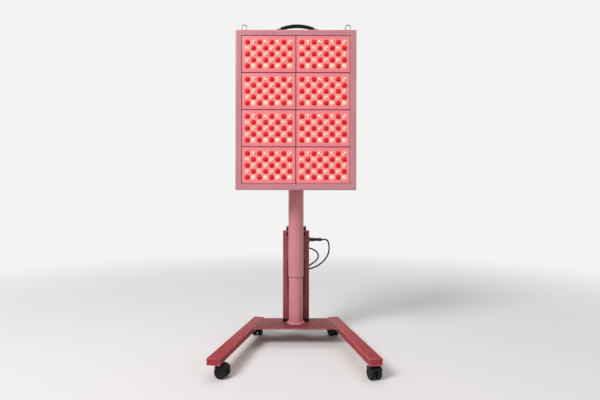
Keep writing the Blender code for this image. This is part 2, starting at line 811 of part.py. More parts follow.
def make_fork(name, swivel):
    """Adds a caster's fork: the web between its wheels, the hood over them and the stem."""
    half_web = WHEEL_GAP / 2 - GAP
    fork = piece(
        f"{name}_fork", side_prism(web_outline(), -half_web, half_web), BLACK_NYLON, swivel, True
    )
    half_hood = CASTER_WIDTH / 2
    join(fork, side_prism(hood_outline(), -half_hood, half_hood), swivel, True)
    flange_high = HOOD_TOP + GAP + STEM_FLANGE
    stem = [
        (0, HOOD_TOP - HEAD_HEIGHT), (HEAD_RADIUS, HOOD_TOP - HEAD_HEIGHT),
        (HEAD_RADIUS, HOOD_TOP), (STEM_FLANGE_RADIUS, HOOD_TOP + STEM_FLANGE / 2),
        (STEM_FLANGE_RADIUS, flange_high), (STEM_RADIUS, flange_high),
        (STEM_RADIUS, flange_high + STEM_LENGTH), (0, flange_high + STEM_LENGTH),
    ]
    join(fork, turned(stem, DISC_SIDES), swivel, True)
    bore_half = half_web + OVERRUN
    axle_place = at(0, CASTER_TRAIL, WHEEL_RADIUS) @ TO_X
    bore = rod(AXLE_RADIUS + RUNNING_GAP, -bore_half, bore_half, DISC_SIDES, axle_place)
    cut(fork, [bore], swivel, True)


def make_casters(base):
    """Adds the four casters, each with both wheels on one axle."""
    for end_name, end in (("front", -1), ("rear", 1)):
        for side_name, side in (("left", -1), ("right", 1)):
            corner = f"{end_name}_{side_name}"
            name = f"caster_{corner}"
            turn = Matrix.Rotation(HEADINGS[corner], 4, "Z")
            swivel = new_holder(f"{name}_swivel", stem_place(end, side) @ turn, base)
            make_fork(name, swivel)
            axle_spot = at(0, CASTER_TRAIL, WHEEL_RADIUS)
            axle = new_holder(f"{name}_axle", swivel.place @ axle_spot, swivel)
            wheels = turned(wheels_outline(), DISC_SIDES, TO_X, flat_down=True)
            piece(f"{name}_wheels", wheels, BLACK_NYLON, axle, True)


def make_carriage(carriage):
    """Adds the sleeve, its lower bush with the key, its cap and the spring's rod."""
    pole = at(0, POLE_Y, 0)
    inside = MAST_RADIUS + GAP
    flange_high = SLEEVE_BOTTOM + BUSH_FLANGE
    liner = [
        (inside, SLEEVE_BOTTOM), (SLEEVE_RADIUS, SLEEVE_BOTTOM), (SLEEVE_RADIUS, flange_high),
        (SLEEVE_BORE - GAP, flange_high), (SLEEVE_BORE - GAP, SLEEVE_BOTTOM + BUSH_LENGTH),
        (inside, SLEEVE_BOTTOM + BUSH_LENGTH),
    ]
    bush = piece("lower_guide_bush", turned(liner, POLE_SIDES, pole), GUIDE_GREY, carriage)
    key_low = SLEEVE_BOTTOM + KEY_RISE
    key = block(
        (-KEY_WIDTH / 2, POLE_Y + MAST_BORE + KEY_TIP_GAP, key_low),
        (KEY_WIDTH / 2, POLE_Y + (inside + SLEEVE_BORE - GAP) / 2, key_low + KEY_LENGTH),
    )
    join(bush, key, carriage)
    piece(
        "sleeve",
        tube(SLEEVE_BORE, SLEEVE_RADIUS, flange_high + GAP, SLEEVE_TOP, POLE_SIDES, pole),
        POWDER_COAT, carriage,
    )

    spigot = SLEEVE_BORE - GAP
    cap_bore = ROD_STUD_RADIUS + GAP
    cap_low = SLEEVE_TOP + GAP
    ceiling = cap_low - CAP_WALL
    outline = [
        (cap_bore, ceiling), (spigot - CAP_WALL, ceiling), (spigot - CAP_WALL, cap_low - CAP_SPIGOT),
        (spigot, cap_low - CAP_SPIGOT), (spigot, cap_low), (SLEEVE_RADIUS, cap_low),
        (SLEEVE_RADIUS, CAP_TOP), (cap_bore, CAP_TOP),
    ]
    cap = piece("sleeve_cap", turned(outline, POLE_SIDES, pole), BLACK_NYLON, carriage)
    ear_near = LEVER_WIDTH / 2 + RUNNING_GAP
    holes = []
    for side in (-1, 1):
        near, far = sorted((side * ear_near, side * (ear_near + LEVER_EAR)))
        ear = block(
            (LEVER_PIVOT.x - LEVER_EAR_HALF, POLE_Y + near, CAP_TOP - CAP_FLANGE / 2),
            (LEVER_PIVOT.x + LEVER_EAR_HALF, POLE_Y + far, LEVER_PIVOT.z + LEVER_EAR_HALF),
        )
        join(cap, ear, carriage)
        near, far = sorted((side * (ear_near - OVERRUN), side * (ear_near + LEVER_EAR + OVERRUN)))
        holes.append(
            rod(
                LEVER_PIN_RADIUS + RUNNING_GAP, near, far, SMALL_SIDES,
                Matrix.Translation(LEVER_PIVOT) @ TO_BACK,
            )
        )
    cut(cap, holes, carriage)

    shoulder_high = ceiling - GAP
    shoulder_low = shoulder_high - ROD_SHOULDER
    piston_top = ROD_BOTTOM + PISTON_LENGTH
    bar = [
        (0, ROD_BOTTOM), (SPRING_BORE - GAP, ROD_BOTTOM), (SPRING_BORE - GAP, piston_top),
        (ROD_RADIUS, piston_top), (ROD_RADIUS, shoulder_low), (ROD_SHOULDER_RADIUS, shoulder_low),
        (ROD_SHOULDER_RADIUS, shoulder_high), (ROD_STUD_RADIUS, shoulder_high),
        (ROD_STUD_RADIUS, CAP_TOP + ROD_STUD_RISE), (0, CAP_TOP + ROD_STUD_RISE),
    ]
    piece("gas_spring_rod", turned(bar, DISC_SIDES, pole), PALE_STEEL, carriage)


def make_release_lever(carriage):
    """Adds the height release lever on its pin above the cap."""
    holder = new_holder("lever_pivot", Matrix.Translation(LEVER_PIVOT), carriage)
    half, thick = LEVER_WIDTH / 2, LEVER_THICKNESS / 2
    bar = block((-LEVER_HEEL, -half, -thick), (LEVER_REACH, half, thick))
    soften(bar, lambda spot: spot.x > LEVER_REACH - SAME_POINT, thick / 2, 2)
    lever = piece("release_lever", bar, BLACK_NYLON, holder, True)
    reach = half + RUNNING_GAP + LEVER_EAR
    join(lever, rod(LEVER_PIN_RADIUS, -reach, reach, SMALL_SIDES, TO_BACK), holder, True)


def lug_outline(root, tip):
    """Returns a lug seen from the side: a strap from its root to a round end at the pivot."""
    away = math.copysign(1, tip - root)
    outline = [(root, LUG_ROUND), (root, -LUG_ROUND)]
    for step in range(LUG_STEPS + 1):
        angle = -math.pi / 2 + math.pi * step / LUG_STEPS
        outline.append((tip + away * LUG_ROUND * math.cos(angle), LUG_ROUND * math.sin(angle)))
    return outline


def make_tilt_head(carriage, panel):
    """Adds the yoke on the sleeve, the panel's lugs on their plate, the bolt and the knob."""
    face = POLE_Y - SLEEVE_RADIUS - YOKE_FACE
    half_height = YOKE_HEIGHT / 2
    saddle = block(
        (-YOKE_HALF, face, PIVOT.z - half_height),
        (YOKE_HALF, POLE_Y - YOKE_WRAP, PIVOT.z + half_height),
    )
    yoke = piece("tilt_yoke", saddle, BLACK_COAT, carriage)
    sleeve_hole = rod(
        SLEEVE_RADIUS + GAP, PIVOT.z - half_height - OVERRUN, PIVOT.z + half_height + OVERRUN,
        POLE_SIDES, at(0, POLE_Y, 0),
    )
    cut(yoke, [sleeve_hole], carriage)
    raise_up = at(0, 0, PIVOT.z)
    ear = lug_outline(face + YOKE_FACE / 2, PIVOT.y)
    for side in (-1, 1):
        near, far = sorted((side * YOKE_EAR_NEAR, side * YOKE_HALF))
        shape = side_prism(ear, near, far)
        bmesh.ops.transform(shape, matrix=raise_up, verts=shape.verts)
        join(yoke, shape, carriage)
    across = Matrix.Translation(PIVOT) @ TO_X
    bolt_hole = PIVOT_BOLT_RADIUS + RUNNING_GAP
    cut(yoke, [rod(bolt_hole, -YOKE_HALF - OVERRUN, YOKE_HALF + OVERRUN, DISC_SIDES, across)], carriage)

    head_in = -YOKE_HALF - GAP
    bolt_end = YOKE_HALF + PIVOT_SPARE
    bolt = [
        (0, head_in - PIVOT_HEAD), (PIVOT_HEAD_RADIUS, head_in - PIVOT_HEAD),
        (PIVOT_HEAD_RADIUS, head_in), (PIVOT_BOLT_RADIUS, head_in),
        (PIVOT_BOLT_RADIUS, bolt_end), (0, bolt_end),
    ]
    piece("pivot_bolt", turned(bolt, DISC_SIDES, across), PALE_STEEL, carriage)

    plate_front = PANEL_BACK + GAP
    plate_rear = plate_front + MOUNT_PLATE
    plate_shape = block(
        (-MOUNT_PLATE_WIDTH / 2, plate_front, PIVOT.z - MOUNT_PLATE_HEIGHT / 2),
        (MOUNT_PLATE_WIDTH / 2, plate_rear, PIVOT.z + MOUNT_PLATE_HEIGHT / 2),
    )
    plate = piece("mount_plate", plate_shape, BLACK_COAT, panel)
    lug = lug_outline(plate_front + MOUNT_PLATE / 2, PIVOT.y)
    for side in (-1, 1):
        near, far = sorted((side * LUG_INSIDE, side * (LUG_INSIDE + LUG_THICKNESS)))
        shape = side_prism(lug, near, far)
        bmesh.ops.transform(shape, matrix=raise_up, verts=shape.verts)
        join(plate, shape, panel)
    lug_far = LUG_INSIDE + LUG_THICKNESS + OVERRUN
    cut(plate, [rod(bolt_hole, -lug_far, lug_far, DISC_SIDES, across)], panel)
    for spot in mount_stud_spots(PANEL_BACK):
        stud = rod(STUD_RADIUS, -HOUSING_WALL - STUD_LENGTH, MOUNT_PLATE / 2, SMALL_SIDES, spot @ TO_BACK)
        join(plate, stud, panel)


def mount_stud_spots(depth):
    """Returns where the mount plate's four studs stand at a depth."""
    across = MOUNT_PLATE_WIDTH / 2 - MOUNT_STUD_INSET
    up = MOUNT_PLATE_HEIGHT / 2 - MOUNT_STUD_INSET
    return [at(x * across, depth, PIVOT.z + z * up) for x in (-1, 1) for z in (-1, 1)]


def make_tilt_knob(carriage):
    """Adds the lobed knob that clamps the tilt."""
    start = YOKE_HALF + GAP
    holder = new_holder("knob_axis", Matrix.Translation(PIVOT), carriage)
    points = KNOB_LOBES * 4
    outline = []
    for step in range(points):
        angle = math.tau * step / points
        radius = KNOB_RADIUS * (1 - KNOB_LOBE_SHARE * (1 - math.cos(KNOB_LOBES * angle)) / 2)
        outline.append((radius * math.cos(angle), radius * math.sin(angle)))
    knob = piece(
        "tilt_knob", prism(outline, start, start + KNOB_LENGTH, TO_X), BLACK_NYLON, holder, True
    )
    bolt_end = start - GAP + PIVOT_SPARE
    bore = rod(PIVOT_BOLT_RADIUS + RUNNING_GAP, start - OVERRUN, bolt_end + GAP, DISC_SIDES, TO_X)
    cut(knob, [bore], holder, True)


def make_front_frame(panel):
    """Adds the panel's front frame: a rim with a wall behind it, rounded on its outer edges."""
    half_width, half_height = PANEL_WIDTH / 2, PANEL_HEIGHT / 2
    rear = PANEL_FRONT + FRAME_DEPTH
    shape = block(
        (-half_width, PANEL_FRONT, PANEL_MID_Z - half_height),
        (half_width, rear, PANEL_MID_Z + half_height),
    )
    soften(shape, lambda spot: spot.y < PANEL_FRONT + SAME_POINT, FRAME_ROUND, 3)
    frame = piece("front_frame", shape, POWDER_COAT, panel)
    opening = block_about(
        (0, PANEL_FRONT + FRAME_DEPTH / 2, PANEL_MID_Z),
        (OPENING_WIDTH, FRAME_DEPTH + 2 * OVERRUN, OPENING_HEIGHT),
    )
    cut(frame, [opening], panel)
    pocket = block(
        (FRAME_WALL - half_width, PANEL_FRONT + FRAME_FACE, PANEL_MID_Z - half_height + FRAME_WALL),
        (half_width - FRAME_WALL, rear + OVERRUN, PANEL_MID_Z + half_height - FRAME_WALL),
    )
    cut(frame, [pocket], panel)


def fan_middle():
    """Returns the middle of the fan on the housing's back."""
    return Vector((0, PANEL_BACK, PANEL_MID_Z - FAN_DROP))


def grille_cuts():
    """Returns the cutters of the fan grille: rings of slots between round bars and arms."""
    pitch = (FAN_BORE - GRILLE_HUB) / GRILLE_RINGS
    place = Matrix.Translation(fan_middle()) @ TO_BACK
    cutters = []
    for ring in range(GRILLE_RINGS):
        inner, outer = GRILLE_HUB + ring * pitch, GRILLE_HUB + (ring + 1) * pitch - GRILLE_BAR
        for arm in range(GRILLE_ARMS):
            outline = []
            for radius, order in ((inner, 1), (outer, -1)):
                share = GRILLE_BAR / 2 / radius
                start = math.tau * (arm + 1 / 2) / GRILLE_ARMS + share
                sweep = math.tau / GRILLE_ARMS - 2 * share
                for step in range(GRILLE_STEPS + 1)[::order]:
                    angle = start + sweep * step / GRILLE_STEPS
                    outline.append((radius * math.cos(angle), radius * math.sin(angle)))
            cutters.append(prism(outline, -HOUSING_WALL - OVERRUN, OVERRUN, place))
    return cutters


def make_housing(panel):
    """Adds the rear housing, a tray open to the front, with its holes."""
    half_width, half_height = PANEL_WIDTH / 2, PANEL_HEIGHT / 2
    front = PANEL_FRONT + FRAME_DEPTH + GAP
    shape = block(
        (-half_width, front, PANEL_MID_Z - half_height),
        (half_width, PANEL_BACK, PANEL_MID_Z + half_height),
    )
    soften(shape, lambda spot: spot.y > PANEL_BACK - SAME_POINT, 2 * HOUSING_WALL, 2)
    housing = piece("rear_housing", shape, POWDER_COAT, panel)
    inner = block(
        (HOUSING_WALL - half_width, front - OVERRUN, PANEL_MID_Z - half_height + HOUSING_WALL),
        (
            half_width - HOUSING_WALL, PANEL_BACK - HOUSING_WALL,
            PANEL_MID_Z + half_height - HOUSING_WALL,
        ),
    )
    cut(housing, [inner], panel)
    low, high = -HOUSING_WALL - OVERRUN, OVERRUN
    holes = grille_cuts()
    holes += [
        rod(STUD_RADIUS + GAP, low, high, SMALL_SIDES, spot @ TO_BACK)
        for spot in mount_stud_spots(PANEL_BACK)
    ]
    gland = Matrix.Translation(panel_gland()) @ TO_BACK
    holes.append(rod(GLAND_NECK_RADIUS + GAP, low, high, DISC_SIDES, gland))
    holes += [
        rod(EYE_SHANK_RADIUS + GAP, low, high, SMALL_SIDES, at(*spot)) for spot in eye_feet()
    ]
    holes += [
        rod(STUD_RADIUS + GAP, low, high, SMALL_SIDES, at(*spot)) for spot in handle_studs()
    ]
    cut(housing, holes, panel)


def panel_gland():
    """Returns the middle of the cable gland's hole in the housing's back."""
    return Vector((PANEL_GLAND_X, PANEL_BACK, PANEL_BOTTOM + PANEL_GLAND_RISE))


def eye_feet():
    """Returns where the two eye bolts enter the panel's top."""
    return [(x * EYE_SPREAD, PANEL_FRONT + EYE_DEPTH, PANEL_TOP) for x in (-1, 1)]


def handle_studs():
    """Returns where the studs of the handle's arms enter the panel's top."""
    middle = (ARM_FOOT_OUT + ARM_FOOT_IN) / 2
    return [(HANDLE_X + x * middle, PANEL_FRONT + HANDLE_DEPTH, PANEL_TOP) for x in (-1, 1)]


def module_middles(column):
    """Returns the middles of the modules of one column, from the top down."""
    x = (column - (MODULE_COLUMNS - 1) / 2) * (MODULE_WIDTH + MODULE_SPACE)
    pitch = MODULE_HEIGHT + MODULE_SPACE
    return [
        Vector((x, MODULE_FACE_Y, PANEL_MID_Z + ((MODULE_ROWS - 1) / 2 - row) * pitch))
        for row in range(MODULE_ROWS)
    ]


def module_pan(middle):
    """Returns one module's folded pan: a face with four short walls behind it."""
    half_width, half_height = MODULE_WIDTH / 2, MODULE_HEIGHT / 2
    pan = block(
        (middle.x - half_width, middle.y, middle.z - half_height),
        (middle.x + half_width, middle.y + MODULE_DEPTH, middle.z + half_height),
    )
    soften(pan, lambda spot: spot.y < middle.y + SAME_POINT, MODULE_ROUND, 2)
    rear = max(pan.faces, key=lambda face: face.calc_center_median().y)
    bmesh.ops.inset_region(pan, faces=[rear], thickness=MODULE_SHEET)
    bmesh.ops.translate(pan, vec=(0, MODULE_SHEET - MODULE_DEPTH, 0), verts=rear.verts)
    bmesh.ops.recalc_face_normals(pan, faces=pan.faces)
    return pan


def lens_shape(spot):
    """Returns one lens: a low dome that stands out to the front of its plate."""
    sunk = MODULE_SHEET / 2
    outline = [
        (0, -sunk), (LENS_RADIUS, -sunk), (LENS_RADIUS, 0),
        (LENS_RADIUS * LENS_TOP_SHARE, LENS_HEIGHT), (0, LENS_HEIGHT),
    ]
    return turned(outline, LENS_SIDES, Matrix.Translation(spot) @ TO_FRONT, flat_down=True)


def make_modules(panel):
    """Adds the eight modules, each a shallow pan with its field of lenses."""
    for column, column_name in enumerate(("left", "right")):
        for row, middle in enumerate(module_middles(column)):
            name = f"led_module_{column_name}_{row + 1}"
            module = piece(name, module_pan(middle), LENS_PLATE, panel)
            lenses = []
            for led in range(LED_COLUMNS * LED_ROWS):
                across, down = led % LED_COLUMNS, led // LED_COLUMNS
                x = middle.x + (across - (LED_COLUMNS - 1) / 2) * LED_PITCH_X
                z = middle.z + ((LED_ROWS - 1) / 2 - down) * LED_PITCH_Z
                lenses.append(lens_shape(Vector((x, middle.y, z))))
            join(module, merged(lenses), panel)


def make_heat_sink(panel):
    """Adds the finned plate that backs the modules and seats on the frame's rim."""
    half_width = OPENING_WIDTH / 2 + SINK_OVERLAP
    half_height = OPENING_HEIGHT / 2 + SINK_OVERLAP
    rear = SINK_FRONT + SINK_BASE
    tip = rear + SINK_FIN_HEIGHT
    spread = half_width - SINK_FIN_MARGIN
    outline = [(-half_width, SINK_FRONT), (half_width, SINK_FRONT), (half_width, rear)]
    for fin in reversed(range(SINK_FINS)):
        middle = spread * (2 * fin / (SINK_FINS - 1) - 1)
        outline += [
            (middle + SINK_FIN / 2, rear), (middle + SINK_FIN / 2, tip),
            (middle - SINK_FIN / 2, tip), (middle - SINK_FIN / 2, rear),
        ]
    outline.append((-half_width, rear))
    shape = prism(outline, PANEL_MID_Z - half_height, PANEL_MID_Z + half_height)
    piece("heat_sink", shape, ALUMINIUM, panel)


def blade(turn, lift):
    """Returns one fan blade: a slanted slat from the hub towards the rim."""
    shape = block(
        (FAN_HUB - FAN_BLADE, -FAN_BLADE_CHORD / 2, -FAN_BLADE / 2),
        (FAN_BORE - FAN_TIP_GAP, FAN_BLADE_CHORD / 2, FAN_BLADE / 2),
    )
    lean = Matrix.Rotation(FAN_BLADE_PITCH, 4, "X")
    return placed(shape, at(0, 0, lift) @ Matrix.Rotation(turn, 4, "Z") @ lean)


def make_fan(panel):
    """Adds the fan's square frame with its strut and pin, and the rotor on that pin."""
    foot = at(0, PANEL_BACK - HOUSING_WALL - GAP - FAN_DEPTH, fan_middle().z) @ TO_BACK
    half = FAN_FRAME / 2
    frame_shape = placed(block((-half, -half, 0), (half, half, FAN_DEPTH)), foot)
    frame = piece("fan_frame", frame_shape, BLACK_NYLON, panel)
    bore = rod(FAN_BORE, -OVERRUN, FAN_DEPTH + OVERRUN, 2 * DISC_SIDES, foot)
    cut(frame, [bore], panel)
    reach = half - (half - FAN_BORE) / 2
    strut = block((-reach, -FAN_STRUT / 2, 0), (reach, FAN_STRUT / 2, FAN_STRUT_DEPTH))
    join(frame, placed(strut, foot), panel)
    join(frame, rod(FAN_PIN_RADIUS, FAN_STRUT_DEPTH / 2, FAN_DEPTH / 2, DISC_SIDES, foot), panel)

    hub_low, hub_high = FAN_STRUT_DEPTH + RUNNING_GAP, FAN_DEPTH - FAN_SINK
    holder = new_holder("fan_axis", foot, panel)
    rotor = piece("fan_rotor", rod(FAN_HUB, hub_low, hub_high, DISC_SIDES), BLACK_NYLON, holder, True)
    for step in range(FAN_BLADES):
        slat = blade(math.tau * step / FAN_BLADES, (hub_low + hub_high) / 2)
        join(rotor, slat, holder, True)
    socket = rod(
        FAN_PIN_RADIUS + RUNNING_GAP, hub_low - OVERRUN, FAN_DEPTH / 2 + RUNNING_GAP, DISC_SIDES
    )
    cut(rotor, [socket], holder, True)


def make_eye_bolts(panel):
    """Adds the two eye bolts on the panel's top."""
    shank_top = EYE_RISE - EYE_RADIUS
    shank = [
        (0, -EYE_SHANK_IN), (EYE_SHANK_RADIUS, -EYE_SHANK_IN), (EYE_SHANK_RADIUS, GAP),
        (EYE_COLLAR_RADIUS, GAP), (EYE_COLLAR_RADIUS, GAP + EYE_COLLAR),
        (EYE_SHANK_RADIUS, GAP + EYE_COLLAR), (EYE_SHANK_RADIUS, shank_top), (0, shank_top),
    ]
    wire = [
        (EYE_RADIUS + EYE_WIRE * math.cos(angle), EYE_WIRE * math.sin(angle))
        for angle in (math.tau * step / 6 for step in range(6))
    ]
    for side, spot in zip(("left", "right"), eye_feet()):
        foot = at(*spot)
        bolt = piece(f"eye_bolt_{side}", turned(shank, SMALL_SIDES, foot), PALE_STEEL, panel)
        join(bolt, turned(wire, DISC_SIDES, foot @ at(0, 0, EYE_RISE) @ TO_BACK), panel)


def make_handle(panel):
    """Adds the arched grip and the two metal arms that hold it."""
    middle_y = PANEL_FRONT + HANDLE_DEPTH
    low_line, high_line = [], []
    for step in range(GRIP_STEPS + 1):
        share = 2 * step / GRIP_STEPS - 1
        crown = 1 - share * share
        x = GRIP_HALF * share
        low_line.append((x, PANEL_TOP + GRIP_END_LOW + (GRIP_MID_LOW - GRIP_END_LOW) * crown))
        high_line.append((x, PANEL_TOP + GRIP_END_HIGH + (GRIP_MID_HIGH - GRIP_END_HIGH) * crown))
    depthwise = at(HANDLE_X, middle_y, 0) @ TO_FRONT
    half = GRIP_WIDTH / 2
    grip = prism(low_line + high_line[::-1], -half, half, depthwise)
    piece("handle_grip", grip, BLACK_RUBBER, panel)

    foot_low = PANEL_TOP + GAP
    foot_high = foot_low + ARM_THICKNESS
    join_x = GRIP_HALF + GAP
    for name, side, spot in zip(("left", "right"), (-1, 1), handle_studs()):
        outline = [
            (side * ARM_FOOT_OUT, foot_low), (side * ARM_FOOT_IN, foot_low),
            (side * join_x, PANEL_TOP + ARM_JOIN_LOW), (side * join_x, PANEL_TOP + ARM_JOIN_HIGH),
            (side * ARM_FOOT_IN, foot_high + ARM_THICKNESS / 2), (side * ARM_FOOT_OUT, foot_high),
        ]
        shape = prism(outline, -ARM_WIDTH / 2, ARM_WIDTH / 2, depthwise)
        arm = piece(f"handle_arm_{name}", shape, PALE_STEEL, panel)
        stud = rod(STUD_RADIUS, -HOUSING_WALL - STUD_LENGTH, ARM_THICKNESS / 2, SMALL_SIDES, at(*spot))
        join(arm, stud, panel)


def screw(head_from):
    """Returns a pan-headed screw whose head starts at a height, its shank below."""
    outline = [
        (0, head_from - SCREW_LENGTH), (SCREW_RADIUS, head_from - SCREW_LENGTH),
        (SCREW_RADIUS, head_from), (SCREW_HEAD_RADIUS, head_from),
        (SCREW_HEAD_RADIUS, head_from + SCREW_HEAD / 2),
        (SCREW_HEAD_RADIUS / 2, head_from + SCREW_HEAD), (0, head_from + SCREW_HEAD),
    ]
    return turned(outline, SMALL_SIDES)


def placed(shape, place):
    """Moves a shape and returns it."""
    bmesh.ops.transform(shape, matrix=place, verts=shape.verts)
    return shape


def make_panel_gland(panel):
    """Adds the cable gland in the housing's back."""
    gland = placed(gland_shape(HOUSING_WALL), Matrix.Translation(panel_gland()) @ TO_BACK)
    piece("panel_cable_gland", gland, BLACK_NYLON, panel)


def gland_shape(wall):
    """Returns a cable gland through a wall whose outer face is at height zero."""
    nut_top = -wall - GAP
    flange_top = GAP + GLAND_FLANGE
    outline = [
        (0, nut_top - GLAND_NUT), (GLAND_RADIUS, nut_top - GLAND_NUT), (GLAND_RADIUS, nut_top),
        (GLAND_NECK_RADIUS, nut_top), (GLAND_NECK_RADIUS, GAP), (GLAND_RADIUS, GAP),
        (GLAND_RADIUS, flange_top), (GLAND_DOME_RADIUS, flange_top),
        (GLAND_DOME_RADIUS, flange_top + GLAND_DOME / 2),
        (PLUG_END_RADIUS, flange_top + GLAND_DOME), (0, flange_top + GLAND_DOME),
    ]
    return turned(outline, DISC_SIDES)


def keyhole(side):
    """Returns the cutter of one keyhole: a round hole with a narrow slot above it."""
    x, z = side * KEYHOLE_SPREAD, BOX_TOP - KEYHOLE_BELOW_TOP
    narrow = math.asin(KEYHOLE_SLOT / 2 / KEYHOLE_RADIUS)
    outline = [(x + KEYHOLE_SLOT / 2, z + KEYHOLE_SLOT_HEIGHT),
               (x - KEYHOLE_SLOT / 2, z + KEYHOLE_SLOT_HEIGHT)]
    sweep = math.tau - 2 * narrow
    for step in range(DISC_SIDES - 3):
        angle = math.pi / 2 + narrow + sweep * step / (DISC_SIDES - 4)
        outline.append((x + KEYHOLE_RADIUS * math.cos(angle), z + KEYHOLE_RADIUS * math.sin(angle)))
    depth = BOX_SHEET + OVERRUN
    return prism(outline, -depth, OVERRUN, at(0, BOX_FACE, 0) @ TO_FRONT)


def make_box(base):
    """Adds the power box: folded cover, back plate with ears, feet, bracket and supply."""
    half = BOX_WIDTH / 2
    cover_rear = BACK_PLATE_FACE - GAP
    shape = block((-half, BOX_FACE, BOX_BOTTOM), (half, cover_rear, BOX_TOP))
    soften(shape, lambda spot: spot.y < BOX_FACE + SAME_POINT, BOX_FOLD, 2)
    cover = piece("box_cover", shape, POWDER_COAT, base)
    inner = block(
        (BOX_SHEET - half, BOX_FACE + BOX_SHEET, BOX_BOTTOM + BOX_SHEET),
        (half - BOX_SHEET, cover_rear + OVERRUN, BOX_TOP - BOX_SHEET),
    )
    cut(cover, [inner], base)
    openings = [keyhole(-1), keyhole(1)]
    for row in range(VENT_ROWS):
        z = BOX_BOTTOM + VENT_ABOVE_BASE + row * VENT_PITCH
        openings.append(
            block_about((0, BOX_FACE, z), (VENT_WIDTH, 2 * (BOX_SHEET + OVERRUN), VENT_HEIGHT))
        )
    openings.append(
        rod(SOCKET_BARREL + GAP, -BOX_SHEET - OVERRUN, OVERRUN, DISC_SIDES,
            Matrix.Translation(SOCKET) @ TO_X)
    )
    cut(cover, openings, base)

    ear = BOX_EAR_WIDTH / 2
    outline = [(half, BOX_BOTTOM), (half, BOX_TOP)]
    for side in (1, -1):
        outline += [
            (side * EAR_SPREAD + ear, BOX_TOP), (side * EAR_SPREAD + ear, BOX_TOP + BOX_EAR_HEIGHT - ear / 2),
            (side * EAR_SPREAD + ear / 2, BOX_TOP + BOX_EAR_HEIGHT),
            (side * EAR_SPREAD - ear / 2, BOX_TOP + BOX_EAR_HEIGHT),
            (side * EAR_SPREAD - ear, BOX_TOP + BOX_EAR_HEIGHT - ear / 2), (side * EAR_SPREAD - ear, BOX_TOP),
        ]
    outline += [(-half, BOX_TOP), (-half, BOX_BOTTOM)]
    depthwise = at(0, BOX_REAR, 0) @ TO_FRONT
    plate = piece("box_back_plate", prism(outline, 0, BOX_SHEET, depthwise), BLACK_COAT, base)
    holes = [
        rod(SCREW_RADIUS + GAP, -BOX_SHEET - OVERRUN, OVERRUN, SMALL_SIDES, spot @ TO_BACK)
        for spot in ear_screw_spots()
    ]
    holes.append(
        block_about(
            INLET, (INLET_WIDTH + 2 * GAP, 2 * (BOX_SHEET + OVERRUN), INLET_HEIGHT + 2 * GAP)
        )
    )
    cut(plate, holes, base)

    for side, spot in zip(("left", "right"), ear_screw_spots()):
        ear_screw = placed(screw(BOX_SHEET + GAP), spot @ TO_FRONT)
        piece(f"box_ear_screw_{side}", ear_screw, PALE_STEEL, base)
    make_lead_hook(plate, base)

    low, high = LEG_TOP + GAP, LEG_TOP + GAP + FEET_HEIGHT
    for name, side in (("left", -1), ("right", 1)):
        near, far = sorted((side * (half - FEET_WIDTH), side * half))
        foot = block((near, BOX_FACE - FEET_AHEAD, low), (far, PLATE_REAR - FEET_INSET, high))
        piece(f"box_foot_{name}", foot, BLACK_RUBBER, base)

    bracket_top = SLEEVE_BOTTOM - TRAVEL_DOWN - BRACKET_BELOW_SLEEVE
    bracket = piece(
        "box_bracket",
        block(
            (-BRACKET_WIDTH / 2, POLE_Y + MAST_RADIUS - BRACKET_WRAP, bracket_top - BRACKET_HEIGHT),
            (BRACKET_WIDTH / 2, BOX_FACE - GAP, bracket_top),
        ),
        POWDER_COAT, base,
    )
    cut(bracket, [rod(MAST_RADIUS + GAP, bracket_top - BRACKET_HEIGHT - OVERRUN,
                      bracket_top + OVERRUN, POLE_SIDES, at(0, POLE_Y, 0))], base)

    supply_rear = BACK_PLATE_FACE - GAP
    supply = block(
        (-SUPPLY_WIDTH / 2, supply_rear - SUPPLY_DEPTH, BOX_BOTTOM + SUPPLY_ABOVE_BASE),
        (SUPPLY_WIDTH / 2, supply_rear, BOX_BOTTOM + SUPPLY_ABOVE_BASE + SUPPLY_HEIGHT),
    )
    piece("power_supply", supply, BLACK_COAT, base)


def ear_screw_spots():
    """Returns where the screws of the back plate's two ears stand."""
    z = BOX_TOP + BOX_EAR_HEIGHT - BOX_EAR_SCREW_DROP
    return [at(side * EAR_SPREAD, BOX_REAR, z) for side in (-1, 1)]


def make_socket_and_plug(base):
    """Adds the flanged socket on the box's side and the round connector in it."""
    place = Matrix.Translation(SOCKET) @ TO_X
    flange_end = GAP + SOCKET_FLANGE_THICKNESS
    barrel = [
        (0, -SOCKET_INSIDE), (SOCKET_BARREL, -SOCKET_INSIDE), (SOCKET_BARREL, flange_end / 2),
        (SOCKET_NOSE, flange_end / 2), (SOCKET_NOSE, flange_end + SOCKET_OUTSIDE),
        (0, flange_end + SOCKET_OUTSIDE),
    ]
    socket = piece("lead_socket", turned(barrel, DISC_SIDES, place), DARK_NUT, base)
    square = rounded_rectangle(SOCKET_FLANGE, SOCKET_FLANGE, SOCKET_FLANGE / 8, 2)
    join(socket, prism(square, GAP, flange_end, place), base)

    spots = (0, PLUG_RING, PLUG_RING + PLUG_BODY, PLUG_RING + PLUG_BODY + PLUG_NUT, PLUG_LENGTH)
    outline = [
        (0, spots[0]), (PLUG_RING_RADIUS, spots[0]), (PLUG_RING_RADIUS, spots[1]),
        (PLUG_BODY_RADIUS, spots[1]), (PLUG_BODY_RADIUS, spots[2]),
        (PLUG_NUT_RADIUS, spots[2]), (PLUG_NUT_RADIUS, spots[3]),
        (PLUG_END_RADIUS, spots[4]), (0, spots[4]),
    ]
    plug_place = at(PLUG_START, SOCKET.y, SOCKET.z) @ TO_X
    piece("lead_connector", turned(outline, DISC_SIDES, plug_place), DARK_NUT, base)


